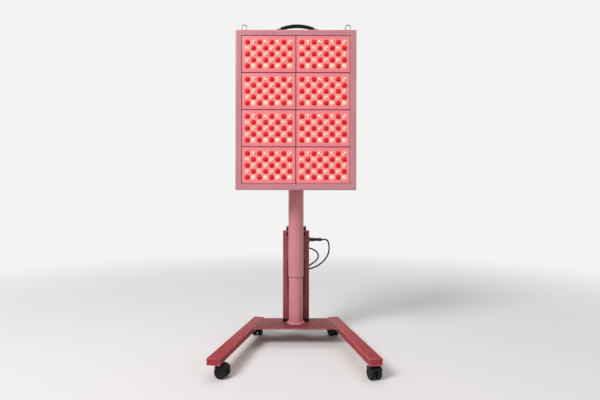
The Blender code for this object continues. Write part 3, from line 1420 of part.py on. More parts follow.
def make_inlet(base):
    """Adds the mains inlet, a moulding with a mouth below and a well for the rocker above."""
    half_width, half_height = INLET_WIDTH / 2, INLET_HEIGHT / 2
    rear = INLET.y + GAP + INLET_BEZEL_THICKNESS
    body = block(
        (INLET.x - half_width, INLET.y - INLET_BODY_DEPTH, INLET.z - half_height),
        (INLET.x + half_width, INLET.y + INLET_BEZEL_THICKNESS / 2, INLET.z + half_height),
    )
    inlet = piece("mains_inlet", body, BLACK_NYLON, base)
    bezel = block(
        (INLET.x - half_width - INLET_BEZEL, INLET.y + GAP, INLET.z - half_height - INLET_BEZEL),
        (INLET.x + half_width + INLET_BEZEL, rear, INLET.z + half_height + INLET_BEZEL),
    )
    join(inlet, bezel, base)
    mouth_low = INLET.z - half_height + INLET_WALL
    mouth_high = mouth_low + INLET_MOUTH_HEIGHT
    mouth = block(
        (INLET.x - half_width + INLET_WALL, rear - INLET_MOUTH_DEPTH, mouth_low),
        (INLET.x + half_width - INLET_WALL, rear + OVERRUN, mouth_high),
    )
    well = block(
        (INLET.x - half_width + INLET_WALL, rear - INLET_MOUTH_DEPTH, mouth_high + INLET_RIB),
        (INLET.x + half_width - INLET_WALL, rear + OVERRUN, INLET.z + half_height - INLET_WALL),
    )
    cut(inlet, [mouth, well], base)

    well_height = INLET_HEIGHT - 2 * INLET_WALL - INLET_RIB - INLET_MOUTH_HEIGHT
    middle_z = INLET.z + half_height - INLET_WALL - well_height / 2
    axis = Vector((INLET.x, rear - ROCKER_THICKNESS, middle_z))
    holder = new_holder("rocker_axis", Matrix.Translation(axis), base)
    reach = well_height / 2 - ROCKER_SIDE_GAP - ROCKER_THICKNESS * math.sin(2 * ROCKER_TILT)
    outline = [
        (-ROCKER_DEPTH / 2, -reach / 2), (ROCKER_THICKNESS - ROCKER_CREST, -reach),
        (ROCKER_THICKNESS - ROCKER_CREST / 2, 0), (ROCKER_THICKNESS - ROCKER_CREST, reach),
        (-ROCKER_DEPTH / 2, reach / 2),
    ]
    across = INLET_WIDTH / 2 - INLET_WALL - ROCKER_SIDE_GAP
    shape = side_prism(outline, -across, across)
    shape = placed(shape, Matrix.Rotation(-ROCKER_TILT, 4, "X"))
    rocker = piece("power_rocker", shape, BLACK_NYLON, holder, True)
    pin = INLET_WIDTH / 2 - INLET_WALL / 2
    join(rocker, rod(ROCKER_PIN_RADIUS, -pin, pin, SMALL_SIDES, TO_X), holder, True)
    pin_hole = INLET_WIDTH / 2 - INLET_WALL / 2 + GAP
    across_place = Matrix.Translation(axis) @ TO_X
    cut(inlet, [rod(ROCKER_PIN_RADIUS + RUNNING_GAP, -pin_hole, pin_hole, SMALL_SIDES,
                    across_place)], base)


def smooth_route(route, steps):
    """Returns points on the smooth curve that passes through a route's points."""
    route = [Vector(point) for point in route]
    padded = [2 * route[0] - route[1], *route, 2 * route[-1] - route[-2]]
    curve = []
    for a, b, c, d in zip(padded, padded[1:], padded[2:], padded[3:]):
        for step in range(steps):
            t = step / steps
            curve.append(
                0.5 * (
                    2 * b + (c - a) * t + (2 * a - 5 * b + 4 * c - d) * t * t
                    + (3 * b - a - 3 * c + d) * t ** 3
                )
            )
    return [*curve, route[-1]]


def even_points(curve, step):
    """Returns points spaced evenly along a curve, about a step apart, and its length."""
    lengths = [0.0]
    for a, b in zip(curve, curve[1:]):
        lengths.append(lengths[-1] + (b - a).length)
    count = max(2, round(lengths[-1] / step))
    points, at_edge = [], 0
    for index in range(count + 1):
        wanted = lengths[-1] * index / count
        while at_edge < len(curve) - 2 and lengths[at_edge + 1] < wanted:
            at_edge += 1
        span = lengths[at_edge + 1] - lengths[at_edge]
        share = (wanted - lengths[at_edge]) / span if span else 0.0
        points.append(curve[at_edge].lerp(curve[at_edge + 1], min(share, 1.0)))
    return points, lengths[-1]


def lead_route():
    """Returns the lead's route, from the connector's end to the gland's top."""
    start = Vector((PLUG_START + PLUG_LENGTH + GAP, SOCKET.y, SOCKET.z))
    end = LEAD_GLAND + Vector((0, 0, GAP + GLAND_FLANGE + GLAND_DOME + GAP))
    outwards = start + Vector((LEAD_STRAIGHT, 0, 0))
    return [start, outwards, *LEAD_ROUTE, end]


def make_lead(base):
    """Adds the lead and the gland that it ends in."""
    points, length = even_points(smooth_route(lead_route(), LEAD_ROUTE_STEPS), LEAD_STEP)
    print(f"lead: {length:.3f} m on {len(points)} points")
    curve = bpy.data.curves.new("lead", "CURVE")
    curve.dimensions = "3D"
    curve.bevel_depth = LEAD_DIAMETER / 2
    curve.bevel_resolution = 2
    curve.use_fill_caps = True
    spline = curve.splines.new("POLY")
    spline.points.add(len(points) - 1)
    for knot, point in zip(spline.points, points):
        knot.co = (*point, 1.0)
    lead = bpy.data.objects.new("lead", curve)
    bpy.context.collection.objects.link(lead)
    lead.parent = base.empty
    curve.materials.append(BLACK_RUBBER.material())

    gland = placed(gland_shape(FOOT_PLATE_THICKNESS), Matrix.Translation(LEAD_GLAND))
    piece("lead_gland", gland, BLACK_NYLON, base)


def make_lead_hook(plate, base):
    """Joins the loop that holds the lead to the back plate."""
    low_end, point, high_end = LEAD_ROUTE[HOOK_AT - 1:HOOK_AT + 2]
    run = Vector(high_end) - Vector(low_end)
    run.y = 0
    place = Matrix.Translation(point) @ run.to_track_quat("Z", "Y").to_matrix().to_4x4()
    bore = LEAD_DIAMETER / 2 + HOOK_CLEAR
    out = bore + HOOK_WALL
    root = point[1] - BOX_REAR + BOX_SHEET / 2
    inward = math.copysign(1, (place.inverted().to_3x3() @ Vector((0, -1, 0))).y)
    near, far = sorted((inward * root, -inward * out))
    half = HOOK_LENGTH / 2
    join(plate, placed(block((-out, near, -half), (out, far, half)), place), base)
    cut(plate, [rod(bore, -half - OVERRUN, half + OVERRUN, DISC_SIDES, place)], base)


def main():
    """Builds the whole object."""
    for old in list(bpy.data.objects):
        bpy.data.objects.remove(old, do_unlink=True)
    base = new_holder("base_frame", Matrix())
    make_legs(base)
    make_plates(base)
    make_mast(base)
    make_casters(base)
    make_box(base)
    make_socket_and_plug(base)
    make_inlet(base)
    make_lead(base)
    carriage = new_holder("carriage_frame", at(0, POLE_Y, SLEEVE_BOTTOM), base)
    make_carriage(carriage)
    make_release_lever(carriage)
    panel = new_holder("panel_pivot", Matrix.Translation(PIVOT), carriage)
    make_tilt_head(carriage, panel)
    make_tilt_knob(carriage)
    make_front_frame(panel)
    make_housing(panel)
    make_modules(panel)
    make_heat_sink(panel)
    make_fan(panel)
    make_eye_bolts(panel)
    make_handle(panel)
    make_panel_gland(panel)


main()
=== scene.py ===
"""Finished look of a red light therapy panel on its height-adjustable wheeled stand.

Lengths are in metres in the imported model's own frame: +X to the right as seen from the front,
+Y to the back and +Z up, with the origin on the floor midway between the ends of the legs.
"""

import sys

import logging
import math
from collections.abc import Callable, Iterable, Sequence
from dataclasses import dataclass
from enum import Enum

import bmesh
import bpy
from mathutils import Matrix, Vector


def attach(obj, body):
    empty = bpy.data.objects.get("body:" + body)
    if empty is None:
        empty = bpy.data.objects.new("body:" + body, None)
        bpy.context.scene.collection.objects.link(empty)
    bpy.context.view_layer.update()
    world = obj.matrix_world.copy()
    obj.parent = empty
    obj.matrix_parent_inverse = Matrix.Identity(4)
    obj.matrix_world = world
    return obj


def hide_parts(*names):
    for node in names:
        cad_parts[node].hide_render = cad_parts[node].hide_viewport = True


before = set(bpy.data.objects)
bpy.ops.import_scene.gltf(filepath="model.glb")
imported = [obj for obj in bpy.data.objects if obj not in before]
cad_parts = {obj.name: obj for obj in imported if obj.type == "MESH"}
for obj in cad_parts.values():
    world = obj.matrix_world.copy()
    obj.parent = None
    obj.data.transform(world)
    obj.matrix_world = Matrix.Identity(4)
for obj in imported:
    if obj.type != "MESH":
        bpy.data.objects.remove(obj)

Colour = tuple[float, float, float]
Point2 = tuple[float, float]
Point3 = tuple[float, float, float]
Band = tuple[float, float]
Shape = bmesh.types.BMesh

LOG = logging.getLogger("light_panel")
TO_X = Matrix.Rotation(math.pi / 2, 4, "Y")
TO_BACK = Matrix.Rotation(-math.pi / 2, 4, "X")
TO_FRONT = Matrix.Rotation(math.pi / 2, 4, "X")

# The gap between pieces that sit on each other, how near counts as on a face, how near two points
# are one, the area that stands for none and the bend that counts as flat.
SEAT = 0.0003
NEAR = 0.00001
SAME = 0.000002
NO_AREA = 1e-12
FLAT = math.radians(0.05)

# Between which values each noise of the finishes shows, and the least share of it that stays.
CLOUD_BAND: Band = (0.38, 0.68)
SPECK_BAND: Band = (0.62, 0.78)
WORN_BAND: Band = (0.35, 0.70)
UPWARD_BAND: Band = (0.55, 0.98)
DRIFT_BAND: Band = (0.40, 0.75)
STAIN_BAND: Band = (0.40, 0.75)
LINE_BAND: Band = (0.30, 0.80)
LINE_ROUGH_BAND: Band = (0.30, 0.70)
LINE_SHARE = 0.35
DUST_LEAST = 0.25
# EDGE_BAND and EDGE_LEAST break up the painted highlight and wear on the edges.
EDGE_BAND: Band = (0.35, 0.65)
EDGE_LEAST = 0.35

# How the streaks of wear and the drawn lines of metal are stretched, and the map of the lenses.
STREAK_STRETCH: Point3 = (30.0, 30.0, 5.0)
LINE_STRETCH: Point3 = (40.0, 900.0, 900.0)
CELL_MAP = "lens_cells"


class Body(Enum):
    """The bodies that pieces ride on."""

    BASE = "base"
    CARRIAGE = "carriage"
    PANEL = "panel"
    LEVER = "lever"
    KNOB = "knob"
    ROCKER = "rocker"


def at(x: float, y: float, z: float) -> Matrix:
    """Returns the matrix that moves a shape to a place."""
    return Matrix.Translation((x, y, z))


def placed(shape: Shape, place: Matrix) -> Shape:
    """Moves a shape and returns it."""
    bmesh.ops.transform(shape, matrix=place, verts=shape.verts)
    return shape


def spun(profile: Sequence[Point2], steps: int, place: Matrix | None = None) -> Shape:
    """Spins a profile about Z.

    Args:
        profile: (radius, height) points; it closes on itself unless it touches the axis.
        steps: how many steps the full turn has.
        place: where the shape goes afterwards.

    Returns:
        The closed shape.
    """
    shape = bmesh.new()
    rim = [shape.verts.new((radius, 0, height)) for radius, height in profile]
    pairs = list(zip(rim, rim[1:]))
    if min(radius for radius, _ in profile) > NEAR:
        pairs.append((rim[-1], rim[0]))
    edges = [shape.edges.new(pair) for pair in pairs]
    bmesh.ops.spin(
        shape, geom=rim + edges, cent=(0, 0, 0), axis=(0, 0, 1),
        angle=math.tau, steps=steps, use_merge=True,
    )
    bmesh.ops.remove_doubles(shape, verts=shape.verts, dist=NEAR / 10)
    bmesh.ops.recalc_face_normals(shape, faces=shape.faces)
    return placed(shape, place) if place is not None else shape


def drawn(outline: Sequence[Point2], low: float, high: float, place: Matrix | None = None) -> Shape:
    """Extrudes an outline of (x, y) points between two heights.

    Args:
        outline: the corners in order.
        low: the height that it starts at.
        high: the height that it ends at.
        place: where the shape goes afterwards.

    Returns:
        The closed shape.
    """
    shape = bmesh.new()
    face = shape.faces.new([shape.verts.new((x, y, low)) for x, y in outline])
    made = bmesh.ops.extrude_face_region(shape, geom=[face])["geom"]
    top = [part for part in made if isinstance(part, bmesh.types.BMVert)]
    bmesh.ops.translate(shape, vec=(0, 0, high - low), verts=top)
    bmesh.ops.recalc_face_normals(shape, faces=shape.faces)
    return placed(shape, place) if place is not None else shape


def softened(
    shape: Shape, width: float, segments: int,
    test: Callable[[Vector], bool] | None = None, corner: float = 30.0,
) -> Shape:
    """Rounds a shape's sharp edges.

    Args:
        shape: the shape to change.
        width: the bevel's width.
        segments: the bevel's segments.
        test: where given, both ends of an edge pass it.
        corner: the least angle in degrees that counts as sharp.

    Returns:
        The same shape.
    """
    least = math.radians(corner)
    edges = [
        edge for edge in shape.edges
        if len(edge.link_faces) == 2 and edge.calc_face_angle(0) > least
        and (test is None or all(test(vert.co) for vert in edge.verts))
    ]
    bmesh.ops.bevel(
        shape, geom=edges, offset=width, segments=segments,
        profile=0.5, affect="EDGES", material=-1,
    )
    return shape


def mark_edge_highlight_and_wear(shape: Shape, blunt: float = 120.0, keen: float = 320.0, folded: float = 60.0) -> None:
    """Marks the tight outer bends of a shape, where its coat gets a paler painted highlight with
    wear.

    Args:
        shape: the shape to mark; it gets a face attribute that holds the painted highlight and wear.
        blunt: the curvature, one over the radius in metres, that shows none of it.
        keen: the curvature that shows all of it.
        folded: edges past this angle in degrees aren't part of a bend.
    """
    layer = shape.faces.layers.float.new("rub")
    most = math.radians(folded)
    turns = {}
    for edge in shape.edges:
        turn = edge.calc_face_angle_signed(0.0) if len(edge.link_faces) == 2 else 0.0
        turns[edge] = turn * edge.calc_length() if 0.0 < turn < most else 0.0
    for face in shape.faces:
        bend = sum(turns[edge] for edge in face.edges)
        area = max(face.calc_area(), NO_AREA)
        face[layer] = min(1.0, max(0.0, (bend / (2 * area) - blunt) / (keen - blunt)))


def bar(low: Sequence[float], high: Sequence[float], width: float = 0.0, segments: int = 2) -> Shape:
    """Returns a box between two corners, its edges rounded where a width is given."""
    shape = bmesh.new()
    low, high = Vector(low), Vector(high)
    bmesh.ops.create_cube(shape, size=1.0)
    bmesh.ops.scale(shape, vec=high - low, verts=shape.verts)
    bmesh.ops.translate(shape, vec=(low + high) / 2, verts=shape.verts)
    return softened(shape, width, segments) if width else shape


def rounded_outline(width: float, height: float, radius: float, steps: int = 5) -> list[Point2]:
    """Returns a rectangle's outline about its centre, with round corners."""
    middles = [
        (width / 2 - radius, height / 2 - radius), (radius - width / 2, height / 2 - radius),
        (radius - width / 2, radius - height / 2), (width / 2 - radius, radius - height / 2),
    ]
    outline = []
    for quarter, (x, y) in enumerate(middles):
        for step in range(steps + 1):
            angle = (quarter + step / steps) * math.pi / 2
            outline.append((x + radius * math.cos(angle), y + radius * math.sin(angle)))
    return outline


def together(shapes: Iterable[Shape]) -> Shape:
    """Returns one mesh that holds several shapes."""
    whole = bmesh.new()
    for shape in shapes:
        carried = bpy.data.meshes.new("carried")
        shape.to_mesh(carried)
        shape.free()
        whole.from_mesh(carried)
        bpy.data.meshes.remove(carried)
    return whole


def ring_points(radius: float, count: int, middle: Point2 = (0.0, 0.0)) -> list[Point2]:
    """Returns evenly spaced points on a circle: six of them are a hexagon's corners."""
    x, y = middle
    turns = [math.tau * step / count for step in range(count)]
    return [(x + radius * math.cos(turn), y + radius * math.sin(turn)) for turn in turns]


def rod(radius: float, low: float, high: float, steps: int, place: Matrix | None = None) -> Shape:
    """Returns a plain round rod about Z between two heights."""
    return spun([(0, low), (radius, low), (radius, high), (0, high)], steps, place)


def side_view(outline: Sequence[Point2], low: float, high: float) -> Shape:
    """Extrudes an outline of (y, z) points along X."""
    turn = Matrix(((0, 0, 1, 0), (1, 0, 0, 0), (0, 1, 0, 0), (0, 0, 0, 1)))
    return drawn(outline, low, high, turn)


def carved(shape: Shape, cutters: Iterable[Shape]) -> Shape:
    """Cuts other shapes out of a shape with a Boolean, and returns what is left."""
    objects = []
    for part in (shape, together(cutters)):
        mesh = bpy.data.meshes.new("carving")
        part.to_mesh(mesh)
        part.free()
        objects.append(bpy.data.objects.new("carving", mesh))
        bpy.context.collection.objects.link(objects[-1])
    modifier = objects[0].modifiers.new("Cut", "BOOLEAN")
    modifier.solver = "EXACT"
    modifier.object = objects[1]
    graph = bpy.context.evaluated_depsgraph_get()
    result = bmesh.new()
    result.from_object(objects[0], graph)
    for part in objects:
        bpy.data.meshes.remove(part.data)
    bmesh.ops.remove_doubles(result, verts=result.verts, dist=SAME)
    bmesh.ops.dissolve_degenerate(result, dist=SAME, edges=result.edges)
    bmesh.ops.dissolve_limit(result, angle_limit=FLAT, verts=result.verts, edges=result.edges)
    return result


class Graph:
    """A node tree while it is being wired."""

    def __init__(self, tree: bpy.types.NodeTree) -> None:
        """Starts wiring a tree."""
        self.tree = tree

    def add(self, kind: str, inputs: dict | None = None, **settings: object) -> bpy.types.Node:
        """Adds a node.

        Args:
            kind: the node's type name.
            inputs: values or sockets for its inputs, by name or number.
            settings: the node's own settings.

        Returns:
            The node.
        """
        node = self.tree.nodes.new(kind)
        for name, value in settings.items():
            setattr(node, name, value)
        for name, value in (inputs or {}).items():
            if isinstance(value, bpy.types.NodeSocket):
                self.tree.links.new(value, node.inputs[name])
            elif isinstance(value, tuple) and len(value) == 3 and node.inputs[name].type == "RGBA":
                node.inputs[name].default_value = (*value, 1.0)
            else:
                node.inputs[name].default_value = value
        return node

    def math(self, operation: str, first: object, second: object = 0.0) -> bpy.types.NodeSocket:
        """Returns the result of a Math node."""
        return self.add("ShaderNodeMath", {0: first, 1: second}, operation=operation).outputs[0]

    def spread(self, value: object, low: float, high: float, first: object = 0.0,
               last: object = 1.0) -> bpy.types.NodeSocket:
        """Returns a value mapped smoothly from one range to another."""
        return self.add(
            "ShaderNodeMapRange",
            {"Value": value, "From Min": low, "From Max": high, "To Min": first, "To Max": last},
            interpolation_type="SMOOTHSTEP",
        ).outputs["Result"]

    def blend(self, share: object, first: object, second: object) -> bpy.types.NodeSocket:
        """Returns a mix of two colours."""
        node = self.add("ShaderNodeMix", data_type="RGBA")
        for name, value in (("Factor_Float", share), ("A_Color", first), ("B_Color", second)):
            socket = next(found for found in node.inputs if found.identifier == name)
            if isinstance(value, bpy.types.NodeSocket):
                self.tree.links.new(value, socket)
            elif isinstance(value, tuple):
                socket.default_value = (*value, 1.0)
            else:
                socket.default_value = value
        return next(found for found in node.outputs if found.identifier == "Result_Color")

    def join(self, value: bpy.types.NodeSocket, socket: bpy.types.NodeSocket) -> None:
        """Links an output to an input."""
        self.tree.links.new(value, socket)

    def spot(self) -> bpy.types.NodeSocket:
        """Returns the place on the object, in its own coordinates."""
        return self.add("ShaderNodeTexCoord").outputs["Object"]

    def noise(self, where: bpy.types.NodeSocket, scale: object, detail: float = 2.0,
              roughness: float = 0.5) -> bpy.types.NodeSocket:
        """Returns a noise texture's value."""
        return self.add(
            "ShaderNodeTexNoise",
            {"Vector": where, "Scale": scale, "Detail": detail, "Roughness": roughness},
        ).outputs[0]

    def vector(self, operation: str, *given: object) -> bpy.types.NodeSocket:
        """Returns the vector that a Vector Math node gives."""
        inputs = dict(enumerate(given))
        return self.add("ShaderNodeVectorMath", inputs, operation=operation).outputs[0]

    def length(self, vector: bpy.types.NodeSocket) -> bpy.types.NodeSocket:
        """Returns a vector's length."""
        return self.add("ShaderNodeVectorMath", {0: vector}, operation="LENGTH").outputs["Value"]

    def split(self, vector: bpy.types.NodeSocket) -> bpy.types.NodeOutputs:
        """Returns the X, Y and Z of a vector."""
        return self.add("ShaderNodeSeparateXYZ", {0: vector}).outputs

    def bump(self, height: bpy.types.NodeSocket, strength: float,
             distance: float) -> bpy.types.NodeSocket:
        """Returns the normal that a Bump node gives."""
        return self.add(
            "ShaderNodeBump", {"Strength": strength, "Distance": distance, "Height": height}
        ).outputs[0]


def effect(name: str, inputs: Sequence[tuple[str, str]], outputs: Sequence[tuple[str, str]],
           wire: Callable[[Graph, bpy.types.Node, bpy.types.Node], None]) -> bpy.types.NodeTree:
    """Builds a shader node group once.

    Args:
        name: the group's name.
        inputs: (name, kind) of each input, kind being Float, Color or Vector.
        outputs: the same for each output.
        wire: wires the group, given its graph, input node and output node.

    Returns:
        The group's tree.
    """
    known = bpy.data.node_groups.get(name)
    if known:
        return known
    tree = bpy.data.node_groups.new(name, "ShaderNodeTree")
    for direction, sockets in (("INPUT", inputs), ("OUTPUT", outputs)):
        for label, kind in sockets:
            tree.interface.new_socket(label, in_out=direction, socket_type=f"NodeSocket{kind}")
    graph = Graph(tree)
    wire(graph, graph.add("NodeGroupInput"), graph.add("NodeGroupOutput"))
    return tree


def wire_surface(graph: Graph, given: bpy.types.Node, out: bpy.types.Node) -> None:
    """Wires clouded colour, fine grain and worn patches of a moulded or coated surface."""
    where = graph.spot()
    cloud = graph.noise(where, given.outputs["Patch Scale"], 3.0, 0.55)
    grain = graph.noise(where, given.outputs["Grain Scale"], 2.0, 0.6)
    stretched = graph.add("ShaderNodeMapping", {"Vector": where, "Scale": STREAK_STRETCH})
    streak = graph.noise(stretched.outputs[0], 1.6, 5.0, 0.7)
    clouded = graph.spread(cloud, *CLOUD_BAND)
    shaded = graph.blend(clouded, given.outputs["Colour"], given.outputs["Patch Colour"])
    speck = graph.spread(grain, *SPECK_BAND, 0.0, given.outputs["Speckle"])
    speckled = graph.blend(speck, shaded, given.outputs["Patch Colour"])
    worn = graph.spread(streak, *WORN_BAND, given.outputs["Smooth"], given.outputs["Rough"])
    graph.join(speckled, out.inputs["Colour"])
    graph.join(worn, out.inputs["Roughness"])
    graph.join(grain, out.inputs["Height"])


def wire_dust(graph: Graph, given: bpy.types.Node, out: bpy.types.Node) -> None:
    """Wires a mask of thin dust that settles on what faces up."""
    normal = graph.add("ShaderNodeNewGeometry").outputs["Normal"]
    up = graph.spread(graph.split(normal)["Z"], *UPWARD_BAND)
    drift = graph.noise(graph.spot(), given.outputs["Scale"], 6.0, 0.7)
    patchy = graph.spread(drift, *DRIFT_BAND, DUST_LEAST, 1.0)
    mask = graph.math("MULTIPLY", graph.math("MULTIPLY", up, patchy), given.outputs["Amount"])
    graph.join(mask, out.inputs["Mask"])


def wire_brushed(graph: Graph, given: bpy.types.Node, out: bpy.types.Node) -> None:
    """Wires the fine lines of brushed or drawn metal."""
    where = graph.spot()
    run = graph.add("ShaderNodeMapping", {"Vector": where, "Scale": LINE_STRETCH})
    lines = graph.noise(run.outputs[0], 1.0, 3.0)
    stain = graph.noise(where, given.outputs["Stain Scale"], 4.0)
    stained = graph.spread(stain, *STAIN_BAND)
    tint = graph.blend(stained, given.outputs["Colour"], given.outputs["Stain Colour"])
    drawn_line = graph.spread(lines, *LINE_BAND, 0.0, LINE_SHARE)
    lined = graph.blend(drawn_line, tint, given.outputs["Stain Colour"])
    rough = graph.spread(lines, *LINE_ROUGH_BAND, given.outputs["Smooth"], given.outputs["Rough"])
    graph.join(lined, out.inputs["Colour"])
    graph.join(rough, out.inputs["Roughness"])
    graph.join(lines, out.inputs["Height"])


def surface_effect() -> bpy.types.NodeTree:
    """Returns the group for coated and moulded surfaces."""
    return effect(
        "Coated surface",
        [("Colour", "Color"), ("Patch Colour", "Color"), ("Patch Scale", "Float"),
         ("Grain Scale", "Float"), ("Speckle", "Float"), ("Smooth", "Float"), ("Rough", "Float")],
        [("Colour", "Color"), ("Roughness", "Float"), ("Height", "Float")],
        wire_surface,
    )


def dust_effect() -> bpy.types.NodeTree:
    """Returns the group for settled dust."""
    return effect(
        "Settled dust", [("Scale", "Float"), ("Amount", "Float")], [("Mask", "Float")], wire_dust
    )


def brushed_effect() -> bpy.types.NodeTree:
    """Returns the group for brushed metal."""
    return effect(
        "Brushed metal",
        [("Colour", "Color"), ("Stain Colour", "Color"), ("Stain Scale", "Float"),
         ("Smooth", "Float"), ("Rough", "Float")],
        [("Colour", "Color"), ("Roughness", "Float"), ("Height", "Float")],
        wire_brushed,
    )


def lens_cell(graph: Graph) -> tuple[bpy.types.NodeSocket, ...]:
    """Returns the map of the lenses, a lens's number in it, and the offset from its middle."""
    cell = graph.add("ShaderNodeUVMap", uv_map=CELL_MAP).outputs[0]
    off = graph.vector("SUBTRACT", graph.vector("FRACTION", cell), (0.5, 0.5, 0.0))
    return cell, graph.vector("FLOOR", cell), off


@dataclass(frozen=True)
class Finish:
    """What every finish has: a name, and the record's slot that it comes from."""

    name: str
    slot: str

    def material(self) -> bpy.types.Material:
        """Returns the finish's material, built once."""
        known = bpy.data.materials.get(self.name)
        if known:
            return known
        made = bpy.data.materials.new(self.name)
        made.use_nodes = True
        graph = Graph(made.node_tree)
        shader = made.node_tree.nodes["Principled BSDF"]
        self.wire(graph, shader)
        return made

    def wire(self, graph: Graph, shader: bpy.types.Node) -> None:
        """Wires the finish into its shader; each kind of finish has its own."""
        raise NotImplementedError


@dataclass(frozen=True)
class Coated(Finish):
    """Powder coat, moulded plastic or rubber, with grain, clouding, dust, and a painted highlight
    with wear on its edges.
    """

    colour: Colour = (0.5, 0.5, 0.5)
    patch: Colour = (0.45, 0.45, 0.45)
    patch_scale: float = 9.0
    grain_scale: float = 850.0
    speckle: float = 0.15
    smooth: float = 0.34
    rough: float = 0.5
    bump: float = 0.08
    dust: float = 0.06
    dust_colour: Colour = (0.55, 0.52, 0.51)
    specular: float = 0.3
    # The paler colour of the painted highlight and wear on the edges, its share and its noise scale.
    rub: Colour = (0.06, 0.06, 0.06)
    edge_highlight_and_wear_share: float = 0.5
    edge_highlight_and_wear_scale: float = 70.0
    dust_scale: float = 22.0
    relief: float = 0.0006

    def wire(self, graph: Graph, shader: bpy.types.Node) -> None:
        """Wires the coated surface, its dust and the painted highlight with wear on its edges."""
        surface = graph.add(
            "ShaderNodeGroup",
            {"Colour": self.colour, "Patch Colour": self.patch, "Patch Scale": self.patch_scale,
             "Grain Scale": self.grain_scale, "Speckle": self.speckle, "Smooth": self.smooth,
             "Rough": self.rough},
            node_tree=surface_effect(),
        ).outputs
        dust = graph.add(
            "ShaderNodeGroup", {"Scale": self.dust_scale, "Amount": self.dust},
            node_tree=dust_effect(),
        ).outputs["Mask"]
        colour = graph.blend(dust, surface["Colour"], self.dust_colour)
        # The tight bends are painted paler and broken up by noise: a painted highlight, with wear.
        edge = graph.add("ShaderNodeAttribute", attribute_name="rub").outputs["Fac"]
        broken = graph.noise(graph.spot(), self.edge_highlight_and_wear_scale)
        share = graph.spread(broken, *EDGE_BAND, EDGE_LEAST * self.edge_highlight_and_wear_share, self.edge_highlight_and_wear_share)
        colour = graph.blend(graph.math("MULTIPLY", edge, share), colour, self.rub)
        graph.join(colour, shader.inputs["Base Color"])
        graph.join(surface["Roughness"], shader.inputs["Roughness"])
        graph.join(graph.bump(surface["Height"], self.bump, self.relief), shader.inputs["Normal"])
        shader.inputs["Specular IOR Level"].default_value = self.specular


@dataclass(frozen=True)
class Metal(Finish):
    """Bare or plated metal with drawn lines and faint stains."""

    colour: Colour = (0.6, 0.6, 0.62)
    stain: Colour = (0.45, 0.45, 0.47)
    stain_scale: float = 60.0
    smooth: float = 0.2
    rough: float = 0.38
    metallic: float = 1.0
    bump: float = 0.05
    relief: float = 0.0003

    def wire(self, graph: Graph, shader: bpy.types.Node) -> None:
        """Wires the brushed metal."""
        brushed = graph.add(
            "ShaderNodeGroup",
            {"Colour": self.colour, "Stain Colour": self.stain, "Stain Scale": self.stain_scale,
             "Smooth": self.smooth, "Rough": self.rough},
            node_tree=brushed_effect(),
        ).outputs
        graph.join(brushed["Colour"], shader.inputs["Base Color"])
        graph.join(brushed["Roughness"], shader.inputs["Roughness"])
        graph.join(graph.bump(brushed["Height"], self.bump, self.relief), shader.inputs["Normal"])
        shader.inputs["Metallic"].default_value = self.metallic


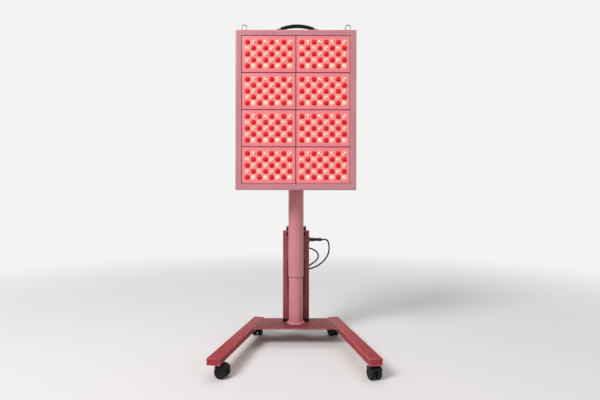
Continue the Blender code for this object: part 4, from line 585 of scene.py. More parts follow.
@dataclass(frozen=True)
class LitPlate(Finish):
    """The white plate under the lenses, as the light of the lenses colours it.

    Its UV map counts lens pitches, so that each lens has a cell of its own. The bands, the reaches
    and lens_share, which is a lens's radius, are in pitches too. The halo is painted red light round
    each red lens, the shine is painted light round each clear lens, and the ring is painted shade
    round each red lens; their bands start at the lens's edge. The border is painted shade in the gap
    at the plate's edge.
    """

    edge: Colour = (0.70, 0.182, 0.208)
    field: Colour = (0.78, 0.175, 0.185)
    halo: Colour = (0.80, 0.07, 0.09)
    pale: Colour = (0.90, 0.33, 0.28)
    ring_shade: Colour = (0.50, 0.045, 0.06)
    border_shade: Colour = (0.10, 0.008, 0.014)
    columns: float = 8.0
    rows: float = 5.0
    reach_x: float = 4.459
    reach_y: float = 3.090
    lens_share: float = 0.40
    field_band: Band = (-0.45, 0.55)
    border_shade_band: Band = (0.025, 0.080)
    halo_band: Band = (0.0, 0.15)
    halo_share: float = 0.55
    shine_band: Band = (0.0, 0.24)
    shine_share: float = 0.85
    ring_band: Band = (0.01, 0.04)
    ring_share: float = 0.55
    glow: float = 0.22
    grain_scale: float = 1100.0
    smooth: float = 0.28
    rough: float = 0.42
    bump: float = 0.05
    relief: float = 0.0005

    def wire(self, graph: Graph, shader: bpy.types.Node) -> None:
        """Wires the painted glow round each lens, the painted shade ring round the red ones, the
        fading towards the plate's edge and the painted shade in the gap at that edge.
        """
        cell, whole, off = lens_cell(graph)
        reach, spot, index = graph.length(off), graph.split(cell), graph.split(whole)
        clear = graph.math("PINGPONG", graph.math("ADD", index["X"], index["Y"]), 1.0)
        red = graph.math("SUBTRACT", 1.0, clear)
        inside, rests = [], []
        for axis, count, plate_reach in (("X", self.columns, self.reach_x),
                                         ("Y", self.rows, self.reach_y)):
            other_side = graph.math("SUBTRACT", count, spot[axis])
            inside.append(graph.math("MINIMUM", spot[axis], other_side))
            off_middle = graph.math("ABSOLUTE", graph.math("SUBTRACT", spot[axis], count / 2))
            rests.append(graph.math("SUBTRACT", plate_reach, off_middle))
        depth = graph.math("MINIMUM", *inside)
        in_field = graph.math("GREATER_THAN", depth, 0.0)
        at_red = graph.math("MULTIPLY", red, in_field)
        at_clear = graph.math("MULTIPLY", clear, in_field)
        colour = graph.blend(graph.spread(depth, *self.field_band), self.edge, self.field)
        # Painted red light round the red lenses, painted light round the clear ones and a painted
        # shade ring round the red ones.
        for band, share, picked, tint in (
            (self.halo_band, self.halo_share, at_red, self.halo),
            (self.shine_band, self.shine_share, at_clear, self.pale),
            (self.ring_band, self.ring_share, at_red, self.ring_shade),
        ):
            near, far = (self.lens_share + edge for edge in band)
            mask = graph.math("MULTIPLY", graph.spread(reach, near, far, share, 0.0), picked)
            colour = graph.blend(mask, colour, tint)
        # Painted shade where the plate meets the gap at its edge.
        at_border_shade = graph.spread(graph.math("MINIMUM", *rests), *self.border_shade_band, 1.0, 0.0)
        colour = graph.blend(at_border_shade, colour, self.border_shade)
        surface = graph.add(
            "ShaderNodeGroup",
            {"Grain Scale": self.grain_scale, "Smooth": self.smooth, "Rough": self.rough},
            node_tree=surface_effect(),
        ).outputs
        graph.join(colour, shader.inputs["Base Color"])
        # The plate also gives its painted colour off as light: a painted glow, though it is no lamp.
        graph.join(colour, shader.inputs["Emission Color"])
        graph.join(surface["Roughness"], shader.inputs["Roughness"])
        graph.join(graph.bump(surface["Height"], self.bump, self.relief), shader.inputs["Normal"])
        shader.inputs["Emission Strength"].default_value = self.glow


@dataclass(frozen=True)
class Lens(Finish):
    """A lens over its light, coloured from its rim to its core, with the chips seen through it;
    where it has several spots, every second one is a painted glint in place of a chip.

    The glow is the light that it gives off, row_glow pales the lowest row towards the glint colour
    and row_fade dims the chips and glints of the rows between the first and the last.
    """

    rim: Colour = (0.36, 0.000, 0.003)
    core: Colour = (0.72, 0.001, 0.005)
    chip: Colour = (0.90, 0.006, 0.012)
    # The glint colour is a painted highlight; row_glow also pales the lowest row towards it.
    glint: Colour = (1.0, 0.03, 0.05)
    spot_share: float = 0.30
    spot_spread: float = 0.30
    chips_and_glints: int = 1
    glow: float = 0.36
    smooth: float = 0.10
    rough: float = 0.18
    rough_band: Band = (0.4, 0.7)
    rough_scale: float = 700.0
    specular: float = 0.2
    core_band: Band = (0.08, 0.48)
    spot_edge: Band = (0.35, 0.60)
    first_chip: float = 0.6
    vary: float = 0.25
    row_glow: float = 0.0
    row_fade: float = 0.0
    rows: float = 5.0

    def wire(self, graph: Graph, shader: bpy.types.Node) -> None:
        """Wires the lens's colour over its UV map, which counts lenses as the plate's map does."""
        _, whole, off = lens_cell(graph)
        luck = graph.add(
            "ShaderNodeTexWhiteNoise", {"Vector": whole}, noise_dimensions="3D"
        ).outputs["Value"]
        core = graph.spread(graph.length(off), *self.core_band)
        colour = graph.blend(core, self.core, self.rim)
        colour = graph.blend(graph.math("MULTIPLY", luck, self.vary), colour, self.rim)
        turned = graph.add(
            "ShaderNodeVectorRotate",
            {"Vector": off, "Angle": graph.math("MULTIPLY", luck, math.tau)},
            rotation_type="Z_AXIS",
        ).outputs[0]
        inner, outer = (self.spot_share * edge for edge in self.spot_edge)
        distance = self.spot_spread / 2 if self.chips_and_glints > 1 else 0.0
        for number in range(self.chips_and_glints):
            angle = math.tau * number / self.chips_and_glints + self.first_chip
            centre = (distance * math.cos(angle), distance * math.sin(angle), 0.0)
            gap = graph.length(graph.vector("SUBTRACT", turned, centre))
            mask = graph.spread(gap, inner, outer, 1.0, 0.0)
            # Every second spot is a painted glint, a painted highlight, in place of a dark chip.
            colour = graph.blend(mask, colour, self.glint if number % 2 else self.chip)
        tiny = graph.noise(graph.spot(), self.rough_scale, 1.0)
        rough = graph.spread(tiny, *self.rough_band, self.smooth, self.rough)
        row = graph.split(whole)["Y"]
        lowest = graph.spread(row, self.rows - 1.5, self.rows - 1.0, 0.0, self.row_glow)
        lit = graph.blend(lowest, colour, self.glint)
        off_middle = graph.math("ABSOLUTE", graph.math("SUBTRACT", row, (self.rows - 1) / 2))
        lit = graph.blend(graph.spread(off_middle, 1.0, 2.0, self.row_fade, 0.0), lit, self.core)
        graph.join(lit, shader.inputs["Base Color"])
        graph.join(lit, shader.inputs["Emission Color"])
        graph.join(rough, shader.inputs["Roughness"])
        shader.inputs["Emission Strength"].default_value = self.glow
        shader.inputs["Specular IOR Level"].default_value = self.specular


# Each part's powder coat is white in itself. Here it takes the colour of the panel's red light:
# painted red light, at a painted shade level for each part. The panel and the column are lighter,
# and the box, the legs and the base plate are darker. Their dust and paler edge colours carry the
# same painted red light.
PANEL_COAT_RED_LIT = Coated(
    "powder coat of the panel in painted red light", "powder_coat", (0.58, 0.240, 0.278), (0.54, 0.215, 0.252),
    smooth=0.38, rough=0.52, bump=0.10, dust=0.04, dust_colour=(0.50, 0.30, 0.32),
    rub=(0.76, 0.44, 0.48), edge_highlight_and_wear_share=0.6,
)
COLUMN_COAT_RED_LIT = Coated(
    "powder coat of the column in painted red light", "powder_coat", (0.61, 0.238, 0.262), (0.57, 0.212, 0.236),
    smooth=0.34, rough=0.48, bump=0.10, dust=0.03, dust_colour=(0.46, 0.26, 0.27),
    rub=(0.70, 0.36, 0.38), edge_highlight_and_wear_share=0.5,
)
BOX_COAT_RED_SHADED = Coated(
    "powder coat of the box in painted red light and shade", "powder_coat", (0.33, 0.084, 0.098), (0.295, 0.071, 0.084),
    smooth=0.36, rough=0.50, bump=0.10, dust=0.03, dust_colour=(0.33, 0.15, 0.16),
    specular=0.2, rub=(0.58, 0.25, 0.28), edge_highlight_and_wear_share=0.8,
)
LEG_COAT_RED_SHADED = Coated(
    "powder coat of the legs in painted red light and shade", "powder_coat", (0.345, 0.042, 0.049), (0.31, 0.037, 0.044),
    patch_scale=14.0, smooth=0.40, rough=0.56, bump=0.10, dust=0.03, dust_colour=(0.34, 0.09, 0.10),
    specular=0.12, rub=(0.60, 0.20, 0.22), edge_highlight_and_wear_share=0.8,
)
PLATE_COAT_RED_SHADED = Coated(
    "powder coat of the base plate", "powder_coat", (0.225, 0.044, 0.052), (0.20, 0.038, 0.046),
    patch_scale=16.0, smooth=0.42, rough=0.60, bump=0.12, dust=0.04, dust_colour=(0.21, 0.07, 0.08),
    specular=0.12, rub=(0.58, 0.24, 0.26), edge_highlight_and_wear_share=0.8,
)
BLACK_COAT = Coated(
    "black coated steel", "black_coat", (0.006, 0.006, 0.007), (0.011, 0.011, 0.012),
    grain_scale=700.0, smooth=0.36, rough=0.50, bump=0.10, dust=0.02,
    dust_colour=(0.12, 0.11, 0.11), specular=0.14,
)
BLACK_NYLON = Coated(
    "black moulded nylon", "black_nylon", (0.005, 0.005, 0.006), (0.009, 0.009, 0.010),
    patch_scale=30.0, grain_scale=1200.0, smooth=0.42, rough=0.58, bump=0.16, dust=0.02,
    dust_colour=(0.12, 0.11, 0.11), specular=0.14,
)
WHEEL_NYLON = Coated(
    "caster tyre", "black_nylon", (0.004, 0.004, 0.005), (0.008, 0.008, 0.009),
    patch_scale=60.0, grain_scale=600.0, speckle=0.25, smooth=0.46, rough=0.72, bump=0.2, dust=0.03,
    dust_colour=(0.12, 0.10, 0.10), specular=0.14,
)
BLACK_RUBBER = Coated(
    "black grip rubber", "black_rubber", (0.005, 0.004, 0.005), (0.009, 0.008, 0.008),
    patch_scale=40.0, grain_scale=1500.0, smooth=0.58, rough=0.78, bump=0.3, dust=0.02,
    dust_colour=(0.12, 0.11, 0.11), specular=0.14,
)
LEAD_RUBBER = Coated(
    "black lead jacket", "black_rubber", (0.004, 0.004, 0.005), (0.007, 0.007, 0.008),
    patch_scale=50.0, grain_scale=1800.0, smooth=0.44, rough=0.58, bump=0.12, dust=0.01,
    dust_colour=(0.12, 0.11, 0.11), specular=0.14,
)
# The grey guide plastic is tinted with painted red light.
GUIDE_PLASTIC_RED_LIT = Coated(
    "grey guide plastic in painted red light", "guide_grey", (0.13, 0.060, 0.066), (0.10, 0.045, 0.050),
    grain_scale=1300.0, smooth=0.45, rough=0.6, bump=0.12,
)
PLATED = Metal(
    "bright plated steel", "plated_steel", (0.36, 0.32, 0.33), (0.15, 0.13, 0.135),
    smooth=0.16, rough=0.34,
)
# The heat sink's aluminium is darkened and reddened: painted shade for the grooves between the
# modules, where it shows, with painted red light.
SHADED_ALUMINIUM = Metal(
    "satin aluminium in painted shade", "bare_aluminium", (0.20, 0.12, 0.125), (0.14, 0.085, 0.09),
    stain_scale=25.0, smooth=0.36, rough=0.54,
)
COUPLING = Metal(
    "dark blue coupling", "dark_coupling", (0.022, 0.026, 0.065), (0.012, 0.013, 0.034),
    stain_scale=200.0, smooth=0.28, rough=0.45, metallic=0.5,
)
MODULE_PLATE = LitPlate("lit module plate", "lens_plate")
RED_LENS = Lens("red lens", "lens_plate")
# The clear lens's four spots alternate dark chips and painted glints.
CLEAR_LENS = Lens(
    "clear lens", "lens_plate", rim=(0.86, 0.30, 0.26), core=(0.94, 0.46, 0.36),
    chip=(0.34, 0.06, 0.05), glint=(1.0, 0.86, 0.70), spot_share=0.32, spot_spread=0.40, chips_and_glints=4,
    glow=0.26, vary=0.5, row_glow=0.35, row_fade=0.38,
)


def present(
    name: str, shape: Shape, finish: Finish, body: Body | str, stands_for: Sequence[str] = (),
    sharp: float = 34.0,
) -> bpy.types.Object:
    """Makes a finished piece that rides on a body.

    Args:
        name: the piece's name.
        shape: its mesh, which is used up.
        finish: what it is finished in.
        body: the body that it rides on.
        stands_for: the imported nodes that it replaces.
        sharp: edges past this angle in degrees stay sharp.

    Returns:
        The piece.
    """
    # Coated pieces get their bends marked for the painted highlight and wear.
    if isinstance(finish, Coated):
        mark_edge_highlight_and_wear(shape)
    mesh = bpy.data.meshes.new(name)
    shape.to_mesh(mesh)
    shape.free()
    mesh.shade_smooth()
    mesh.set_sharp_from_angle(angle=math.radians(sharp))
    mesh.materials.append(finish.material())
    made = bpy.data.objects.new(name, mesh)
    bpy.context.collection.objects.link(made)
    return seat(made, finish, body, stands_for)


def seat(
    made: bpy.types.Object, finish: Finish, body: Body | str, stands_for: Sequence[str] = (),
) -> bpy.types.Object:
    """Seats a piece on its body and hides the nodes that it replaces."""
    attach(made, body.value if isinstance(body, Body) else body)
    if stands_for:
        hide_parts(*stands_for)
    LOG.info("%s in %s", made.name, finish.name)
    return made


def dress(finish: Finish, *nodes: str) -> None:
    """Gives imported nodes, kept as they are, their finish."""
    for node in nodes:
        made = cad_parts[node]
        made.data.materials.clear()
        made.data.materials.append(finish.material())
        LOG.info("%s in %s", node, finish.name)


@dataclass(frozen=True)
class Studio:
    """The camera, the pale room and its soft lamps, each a name, a place, a size and a power."""

    eye: Point3 = (0.0183, -1.8374, 0.6514)
    roll: float = -0.00148
    lens: float = 26.061
    sensor: float = 36.0
    floor_size: float = 60.0
    floor_colour: Colour = (0.84, 0.83, 0.825)
    pale: Colour = (0.90, 0.895, 0.89)
    fade_near: float = 0.7
    fade_far: float = 3.8
    ambient: float = 0.33
    aim: Point3 = (0.0, 0.1, 0.75)
    lamps: tuple[tuple[str, Point3, float, float], ...] = (
        ("key", (-3.1, -3.4, 4.2), 2.0, 264.0),
        ("fill", (2.6, -2.0, 1.4), 2.4, 10.0),
        ("top", (0.2, 0.6, 3.2), 2.6, 26.0),
    )

    def build(self) -> None:
        """Makes the camera, the floor, the world and the lamps."""
        self.camera()
        self.room()
        self.hang_lamps()
        bpy.context.scene.view_settings.view_transform = "Standard"

    def camera(self) -> None:
        """Stands a level camera where the photograph was taken from."""
        data = bpy.data.cameras.new("camera")
        data.lens = self.lens
        data.sensor_width = self.sensor
        camera = bpy.data.objects.new("camera", data)
        camera.location = self.eye
        camera.rotation_euler = (math.pi / 2, self.roll, 0)
        bpy.context.collection.objects.link(camera)
        bpy.context.scene.camera = camera

    def room(self) -> None:
        """Makes the pale floor and a plain bright world behind it."""
        shape = bmesh.new()
        bmesh.ops.create_grid(shape, x_segments=1, y_segments=1, size=self.floor_size / 2)
        mesh = bpy.data.meshes.new("floor")
        shape.to_mesh(mesh)
        shape.free()
        mesh.materials.append(self.floor_material())
        floor = bpy.data.objects.new("floor", mesh)
        bpy.context.collection.objects.link(floor)
        world = bpy.data.worlds.new("studio")
        world.use_nodes = True
        bpy.context.scene.world = world
        graph = Graph(world.node_tree)
        background = world.node_tree.nodes["Background"]
        background.inputs["Color"].default_value = (*self.pale, 1.0)
        graph.join(self.paleness(graph), background.inputs["Strength"])

    def paleness(self, graph: Graph) -> bpy.types.NodeSocket:
        """Returns 1 where the backdrop is seen or mirrored, and the ambient level elsewhere."""
        path = graph.add("ShaderNodeLightPath").outputs
        mirrored = graph.math("MAXIMUM", path["Is Glossy Ray"], path["Is Transmission Ray"])
        seen = graph.math("MAXIMUM", path["Is Camera Ray"], mirrored)
        return graph.spread(seen, 0.0, 1.0, self.ambient, 1.0)

    def floor_material(self) -> bpy.types.Material:
        """Returns the floor's material, which fades into the backdrop's paleness far off."""
        material = bpy.data.materials.new("pale floor")
        material.use_nodes = True
        graph = Graph(material.node_tree)
        shader = material.node_tree.nodes["Principled BSDF"]
        far = graph.spread(graph.length(graph.spot()), self.fade_near, self.fade_far)
        colour = graph.blend(far, self.floor_colour, (0.0, 0.0, 0.0))
        glow = graph.math("MULTIPLY", far, self.paleness(graph))
        graph.join(colour, shader.inputs["Base Color"])
        graph.join(glow, shader.inputs["Emission Strength"])
        shader.inputs["Emission Color"].default_value = (*self.pale, 1.0)
        shader.inputs["Roughness"].default_value = 0.8
        shader.inputs["Specular IOR Level"].default_value = 0.0
        return material

    def hang_lamps(self) -> None:
        """Hangs three broad soft lamps: a key from the left front, a fill and a top light."""
        for name, place, size, power in self.lamps:
            data = bpy.data.lights.new(name, "AREA")
            data.size = size
            data.energy = power
            lamp = bpy.data.objects.new(name, data)
            lamp.location = place
            ray = Vector(self.aim) - Vector(place)
            lamp.rotation_euler = ray.to_track_quat("-Z", "Y").to_euler()
            bpy.context.collection.objects.link(lamp)


@dataclass(frozen=True)
class Lead:
    """The lead that runs from the box's connector round its back to the foot plate."""

    diameter: float = 0.007
    start: Point3 = (0.1254, 0.239, 0.4627)
    straight: float = 0.011
    end: Point3 = (0.020, 0.2705, 0.0884)
    samples: int = 8
    route: tuple[Point3, ...] = (
        (0.1455, 0.2393, 0.4610), (0.1520, 0.2410, 0.4540), (0.1555, 0.2425, 0.4450),
        (0.1575, 0.245, 0.432), (0.158, 0.248, 0.417), (0.156, 0.251, 0.400),
        (0.1505, 0.254, 0.384), (0.141, 0.257, 0.368), (0.125, 0.2605, 0.350),
        (0.105, 0.264, 0.335), (0.085, 0.2665, 0.325), (0.067, 0.2672, 0.319),
        (0.045, 0.2673, 0.3145), (0.022, 0.2675, 0.3145), (0.000, 0.268, 0.320),
        (-0.020, 0.2685, 0.333), (-0.033, 0.269, 0.352), (-0.036, 0.2695, 0.374),
        (-0.028, 0.270, 0.395), (-0.012, 0.2705, 0.411), (0.010, 0.271, 0.419),
        (0.036, 0.2715, 0.421), (0.062, 0.272, 0.418), (0.084, 0.2725, 0.4105),
        (0.100, 0.273, 0.399), (0.107, 0.2735, 0.384), (0.105, 0.274, 0.369),
        (0.095, 0.2745, 0.356), (0.081, 0.275, 0.345), (0.065, 0.2754, 0.3335),
        (0.048, 0.2756, 0.319), (0.034, 0.2755, 0.300), (0.025, 0.275, 0.276),
        (0.021, 0.2742, 0.248), (0.020, 0.273, 0.219), (0.020, 0.272, 0.190),
        (0.020, 0.2712, 0.160), (0.020, 0.2707, 0.130),
    )

    def line(self) -> list[Vector]:
        """Returns points on the smooth curve through the route."""
        start = Vector(self.start)
        first = start + Vector((self.straight, 0, 0))
        knots = [start, first, *map(Vector, self.route), Vector(self.end)]
        padded = [2 * knots[0] - knots[1], *knots, 2 * knots[-1] - knots[-2]]
        curve = []
        for a, b, c, d in zip(padded, padded[1:], padded[2:], padded[3:]):
            for step in range(self.samples):
                t = step / self.samples
                curve.append(0.5 * (
                    2 * b + (c - a) * t + (2 * a - 5 * b + 4 * c - d) * t * t
                    + (3 * b - a - 3 * c + d) * t ** 3
                ))
        return [*curve, knots[-1]]

    def build(self, on_it: Sequence[bpy.types.Object]) -> None:
        """Args:
            on_it: the pieces that it carries; it is not used.
        """
        line = self.line()
        curve = bpy.data.curves.new("lead_cord", "CURVE")
        curve.dimensions = "3D"
        curve.bevel_depth = self.diameter / 2
        curve.bevel_resolution = 4
        curve.use_fill_caps = True
        spline = curve.splines.new("POLY")
        spline.points.add(len(line) - 1)
        for knot, point in zip(spline.points, line):
            knot.co = (*point, 1.0)
        spline.use_smooth = True
        curve.materials.append(LEAD_RUBBER.material())
        cord = bpy.data.objects.new("lead_cord", curve)
        bpy.context.collection.objects.link(cord)
        seat(cord, LEAD_RUBBER, Body.BASE, ["lead"])


@dataclass(frozen=True)
class Connector:
    """The round connector in the box's side, with the flanged socket that it screws onto."""

    x: float = 0.0701
    y: float = 0.239
    z: float = 0.4627
    ring_radius: float = 0.0085
    ring: float = 0.0165
    body_radius: float = 0.007
    body: float = 0.018
    nut_radius: float = 0.0078
    nut: float = 0.016
    nut_corner: float = 0.005
    tail: float = 0.0045
    tail_radius: float = 0.005
    soft: float = 0.0008
    edge: float = 0.0005
    knurl: float = 0.68
    shoulder: Band = (0.72, 0.76)
    ribs: int = 18
    rib_half: float = 0.0006
    rib_depth: Band = (-0.0004, 0.00035)
    flange: float = 0.028
    flange_corner: float = 0.0035
    flange_thickness: float = 0.002
    neck_radius: float = 0.0078
    neck_tip: float = 0.0073
    neck_depth: float = 0.0095
    screw_inset: float = 0.0038
    box_side: float = 0.062

    def build(self) -> list[bpy.types.Object]:
        """Makes the socket and the connector, and returns the connector's pieces."""
        place = at(self.x, self.y, self.z) @ TO_X
        self.socket()
        soft, edge = self.soft, self.edge
        metal = present("connector_ring", together(self.ring_parts(place)), COUPLING, Body.BASE)
        end = self.ring + self.body
        core = [
            (0, edge), (self.body_radius, edge), (self.body_radius, end - soft),
            (self.body_radius - soft, end), (0, end),
        ]
        black = present(
            "connector_body", spun(core, 40, place), BLACK_NYLON, Body.BASE, ["lead_connector"]
        )
        low = end + SEAT
        high = low + self.nut - SEAT
        across = 2 * self.nut_radius
        nut = drawn(rounded_outline(across, across, self.nut_corner, 4), low, high * 0.5 + low * 0.5)
        softened(nut, edge, 2)
        collar = [
            (0, low + soft), (self.nut_radius, (low + high) / 2), (self.nut_radius, high - 2 * soft),
            (self.nut_radius - soft, high - soft), (self.tail_radius + soft, high),
            (self.tail_radius, high + self.tail), (0, high + self.tail),
        ]
        gland = present(
            "connector_nut", together([placed(nut, place), spun(collar, 40, place)]),
            COUPLING, Body.BASE,
        )
        return [metal, black, gland]

    def ring_parts(self, place: Matrix) -> list[Shape]:
        """Returns the coupling ring and the ribs round it."""
        radius, length, soft = self.ring_radius, self.ring, self.soft
        low, high = (length * share for share in self.shoulder)
        ring = [
            (self.body_radius, soft), (radius - soft, 0.0), (radius, soft), (radius, low),
            (radius - soft, high), (radius - soft, length - self.edge),
            (radius - 1.5 * soft, length), (self.body_radius, length),
        ]
        shell = [spun(ring, 32, place)]
        inner, outer = (radius + depth for depth in self.rib_depth)
        for number in range(self.ribs):
            turn = Matrix.Rotation(math.tau * number / self.ribs, 4, "Z")
            rib = bar(
                (inner, -self.rib_half, 2 * soft), (outer, self.rib_half, length * self.knurl),
                0.0003, 1,
            )
            shell.append(placed(rib, place @ turn))
        return shell

    def socket(self) -> None:
        """Makes the square flange with its four screws and the socket's neck."""
        place = at(self.box_side, self.y, self.z) @ TO_X
        face = SEAT + self.flange_thickness
        square = rounded_outline(self.flange, self.flange, self.flange_corner)
        plate = softened(drawn(square, SEAT, face, place), self.edge, 2)
        neck_end = self.x - self.box_side - SEAT
        neck = spun(
            [(0, -self.neck_depth), (self.neck_radius, -self.neck_depth),
             (self.neck_radius, 0.001), (self.neck_tip, 0.001),
             (self.neck_tip, neck_end - 0.0006), (self.neck_tip - self.edge, neck_end),
             (0, neck_end)], 32, place,
        )
        present("socket_flange", together([plate, neck]), COUPLING, Body.BASE, ["lead_socket"])
        head = [(0, -0.0008), (0.0022, -0.0008), (0.0022, 0.0006), (0.0015, 0.0013),
                (0.0008, 0.0014), (0.0006, 0.0008), (0, 0.0008)]
        spread = self.flange / 2 - self.screw_inset
        spots = [(x * spread, y * spread) for x in (-1, 1) for y in (-1, 1)]
        screws = [spun(head, 16, place @ at(x, y, face)) for x, y in spots]
        present("socket_screws", together(screws), PLATED, Body.BASE)


@dataclass(frozen=True)
class Column:
    """The two tubes of the column with their bushes, collar, cap and gas spring."""

    y: float = 0.176
    sleeve_radius: float = 0.035
    sleeve_wall: float = 0.0015
    mast_radius: float = 0.0322
    mast_wall: float = 0.0022
    mast_low: float = 0.0761
    mast_high: float = 0.9001
    sleeve_low: float = 0.2975
    sleeve_high: float = 1.185
    bush: float = 0.0015
    plate_top: float = 0.0821
    collar_radius: float = 0.0405
    collar_height: float = 0.008
    collar_round: float = 0.0035
    bush_length: float = 0.040
    cap_flange: float = 0.006
    cap_round: float = 0.0012
    spigot: float = 0.025
    spigot_wall: float = 0.0025
    rod_hole: float = 0.0043
    ear_x: Band = (-0.015, -0.005)
    ear_y: Band = (0.0065, 0.0105)
    pivot_rise: float = 0.0083
    ear_rise: float = 0.005
    slot_half: float = 0.0038
    key_half: float = 0.0035
    key_rise: float = 0.006
    key_length: float = 0.020
    key_gap: float = 0.0004
    slot_low: float = 0.153
    slot_high: float = 0.574
    slot_spare: float = 0.004
    steps: int = 96

    def build(self) -> None:
        """Makes the column's pieces."""
        pole = at(0, self.y, 0)
        soft = 0.0005
        bore = self.mast_radius - self.mast_wall
        tube = spun(
            [(bore, self.mast_low), (self.mast_radius, self.mast_low),
             (self.mast_radius, self.mast_high - soft), (self.mast_radius - soft, self.mast_high),
             (bore, self.mast_high)], self.steps, pole,
        )
        slot = bar(
            (-self.slot_half, self.y + bore - self.slot_spare, self.slot_low),
            (self.slot_half, self.y + self.mast_radius + self.slot_spare, self.slot_high),
        )
        present("mast_tube", carved(tube, [slot]), COLUMN_COAT_RED_LIT, Body.BASE, ["mast"])
        low = self.sleeve_low + self.bush + SEAT
        inside = self.sleeve_radius - self.sleeve_wall
        sleeve = spun(
            [(inside, low), (self.sleeve_radius - soft, low), (self.sleeve_radius, low + soft),
             (self.sleeve_radius, self.sleeve_high - soft),
             (self.sleeve_radius - soft, self.sleeve_high), (inside, self.sleeve_high)],
            self.steps, pole,
        )
        present("sleeve_tube", sleeve, COLUMN_COAT_RED_LIT, Body.CARRIAGE, ["sleeve"])
        self.collar(pole)
        self.lower_bush(pole)
        self.cap(pole)
        dress(GUIDE_PLASTIC_RED_LIT, "mast_top_bush")
        dress(BLACK_COAT, "gas_spring_cylinder")
        dress(PLATED, "gas_spring_rod")

    def collar(self, pole: Matrix) -> None:
        """Makes the rounded ring round the mast's foot."""
        low = self.plate_top + SEAT
        high = low + self.collar_height
        inside = self.mast_radius + SEAT
        radius = self.collar_round
        profile = [(inside, low), (self.collar_radius, low)]
        for step in range(7):
            angle = step / 6 * math.pi / 2
            profile.append((
                self.collar_radius - radius + radius * math.cos(angle),
                high - radius + radius * math.sin(angle),
            ))
        profile += [(inside + 0.0008, high), (inside, high - 0.0008)]
        ring = spun(profile, self.steps, pole)
        present("collar_ring", ring, COLUMN_COAT_RED_LIT, Body.BASE, ["base_collar"])

    def lower_bush(self, pole: Matrix) -> None:
        """Makes the bush whose thin flange shows as the seam under the sleeve."""
        inside = self.mast_radius + SEAT
        liner = self.sleeve_radius - self.sleeve_wall - SEAT
        low, flange = self.sleeve_low, self.sleeve_radius - 0.0002
        top, end = low + self.bush, low + self.bush_length
        profile = [
            (inside, low), (flange - 0.0004, low), (flange, low + 0.0004), (flange, top),
            (liner, top), (liner, end), (inside, end),
        ]
        key_low = low + self.key_rise
        key = bar(
            (-self.key_half, self.y + self.mast_radius - self.mast_wall + self.key_gap, key_low),
            (self.key_half, self.y + inside + self.key_gap, key_low + self.key_length), 0.0004, 1,
        )
        present("guide_bush", together([spun(profile, self.steps, pole), key]), GUIDE_PLASTIC_RED_LIT,
                Body.CARRIAGE, ["lower_guide_bush"])

    def cap(self, pole: Matrix) -> None:
        """Makes the sleeve's cap with the ears that hold the lever."""
        low = self.sleeve_high + SEAT
        high = low + self.cap_flange
        soft, wall, hole = self.cap_round, self.spigot_wall, self.rod_hole
        outer, spigot = self.sleeve_radius, self.sleeve_radius - self.sleeve_wall - SEAT
        profile = [
            (hole, low - wall), (spigot - wall, low - wall), (spigot - wall, low - self.spigot),
            (spigot, low - self.spigot), (spigot, low), (outer, low), (outer, high - soft),
            (outer - soft * 0.4, high - soft * 0.4), (outer - soft, high),
            (hole + 0.0005, high), (hole, high - 0.0005),
        ]
        parts = [spun(profile, self.steps, pole)]
        ear_top = high + self.pivot_rise + self.ear_rise
        for side in (-1, 1):
            near, far = sorted(side * reach for reach in self.ear_y)
            parts.append(bar(
                (self.ear_x[0], self.y + near, high - 0.002), (self.ear_x[1], self.y + far, ear_top),
                soft, 3,
            ))
        present("cap_moulding", together(parts), BLACK_NYLON, Body.CARRIAGE, ["sleeve_cap"])


@dataclass(frozen=True)
class Lever:
    """The height release lever above the cap."""

    x: float = -0.010
    y: float = 0.176
    z: float = 1.1996
    heel: float = 0.006
    reach: float = 0.085
    half_width: float = 0.006
    half_thickness: float = 0.0025
    edge: float = 0.0012
    grips: tuple[float, ...] = (0.056, 0.061, 0.066, 0.071)
    grip_half: Point2 = (0.0008, 0.0042)
    grip_z: Band = (0.0022, 0.0029)
    pin_radius: float = 0.0015
    pin_half: float = 0.0105

    def build(self) -> None:
        """Makes the lever with its rounded paddle and its pin."""
        half = self.half_width
        round_x = self.reach - half
        outline = [(-self.heel, -half), (round_x, -half)]
        for step in range(1, 12):
            angle = -math.pi / 2 + math.pi * step / 12
            outline.append((round_x + half * math.cos(angle), half * math.sin(angle)))
        outline += [(round_x, half), (-self.heel, half)]
        place = at(self.x, self.y, self.z)
        paddle = drawn(outline, -self.half_thickness, self.half_thickness, place)
        softened(paddle, self.edge, 3)
        (grip_x, grip_y), (low, high) = self.grip_half, self.grip_z
        grips = [
            placed(bar((x - grip_x, -grip_y, low), (x + grip_x, grip_y, high), 0.0003, 1), place)
            for x in self.grips
        ]
        lever = together([paddle, *grips])
        present("lever_paddle", lever, BLACK_NYLON, Body.LEVER, ["release_lever"])
        pin = rod(self.pin_radius, -self.pin_half, self.pin_half, 20, place @ TO_BACK)
        present("lever_pin", pin, PLATED, Body.LEVER)


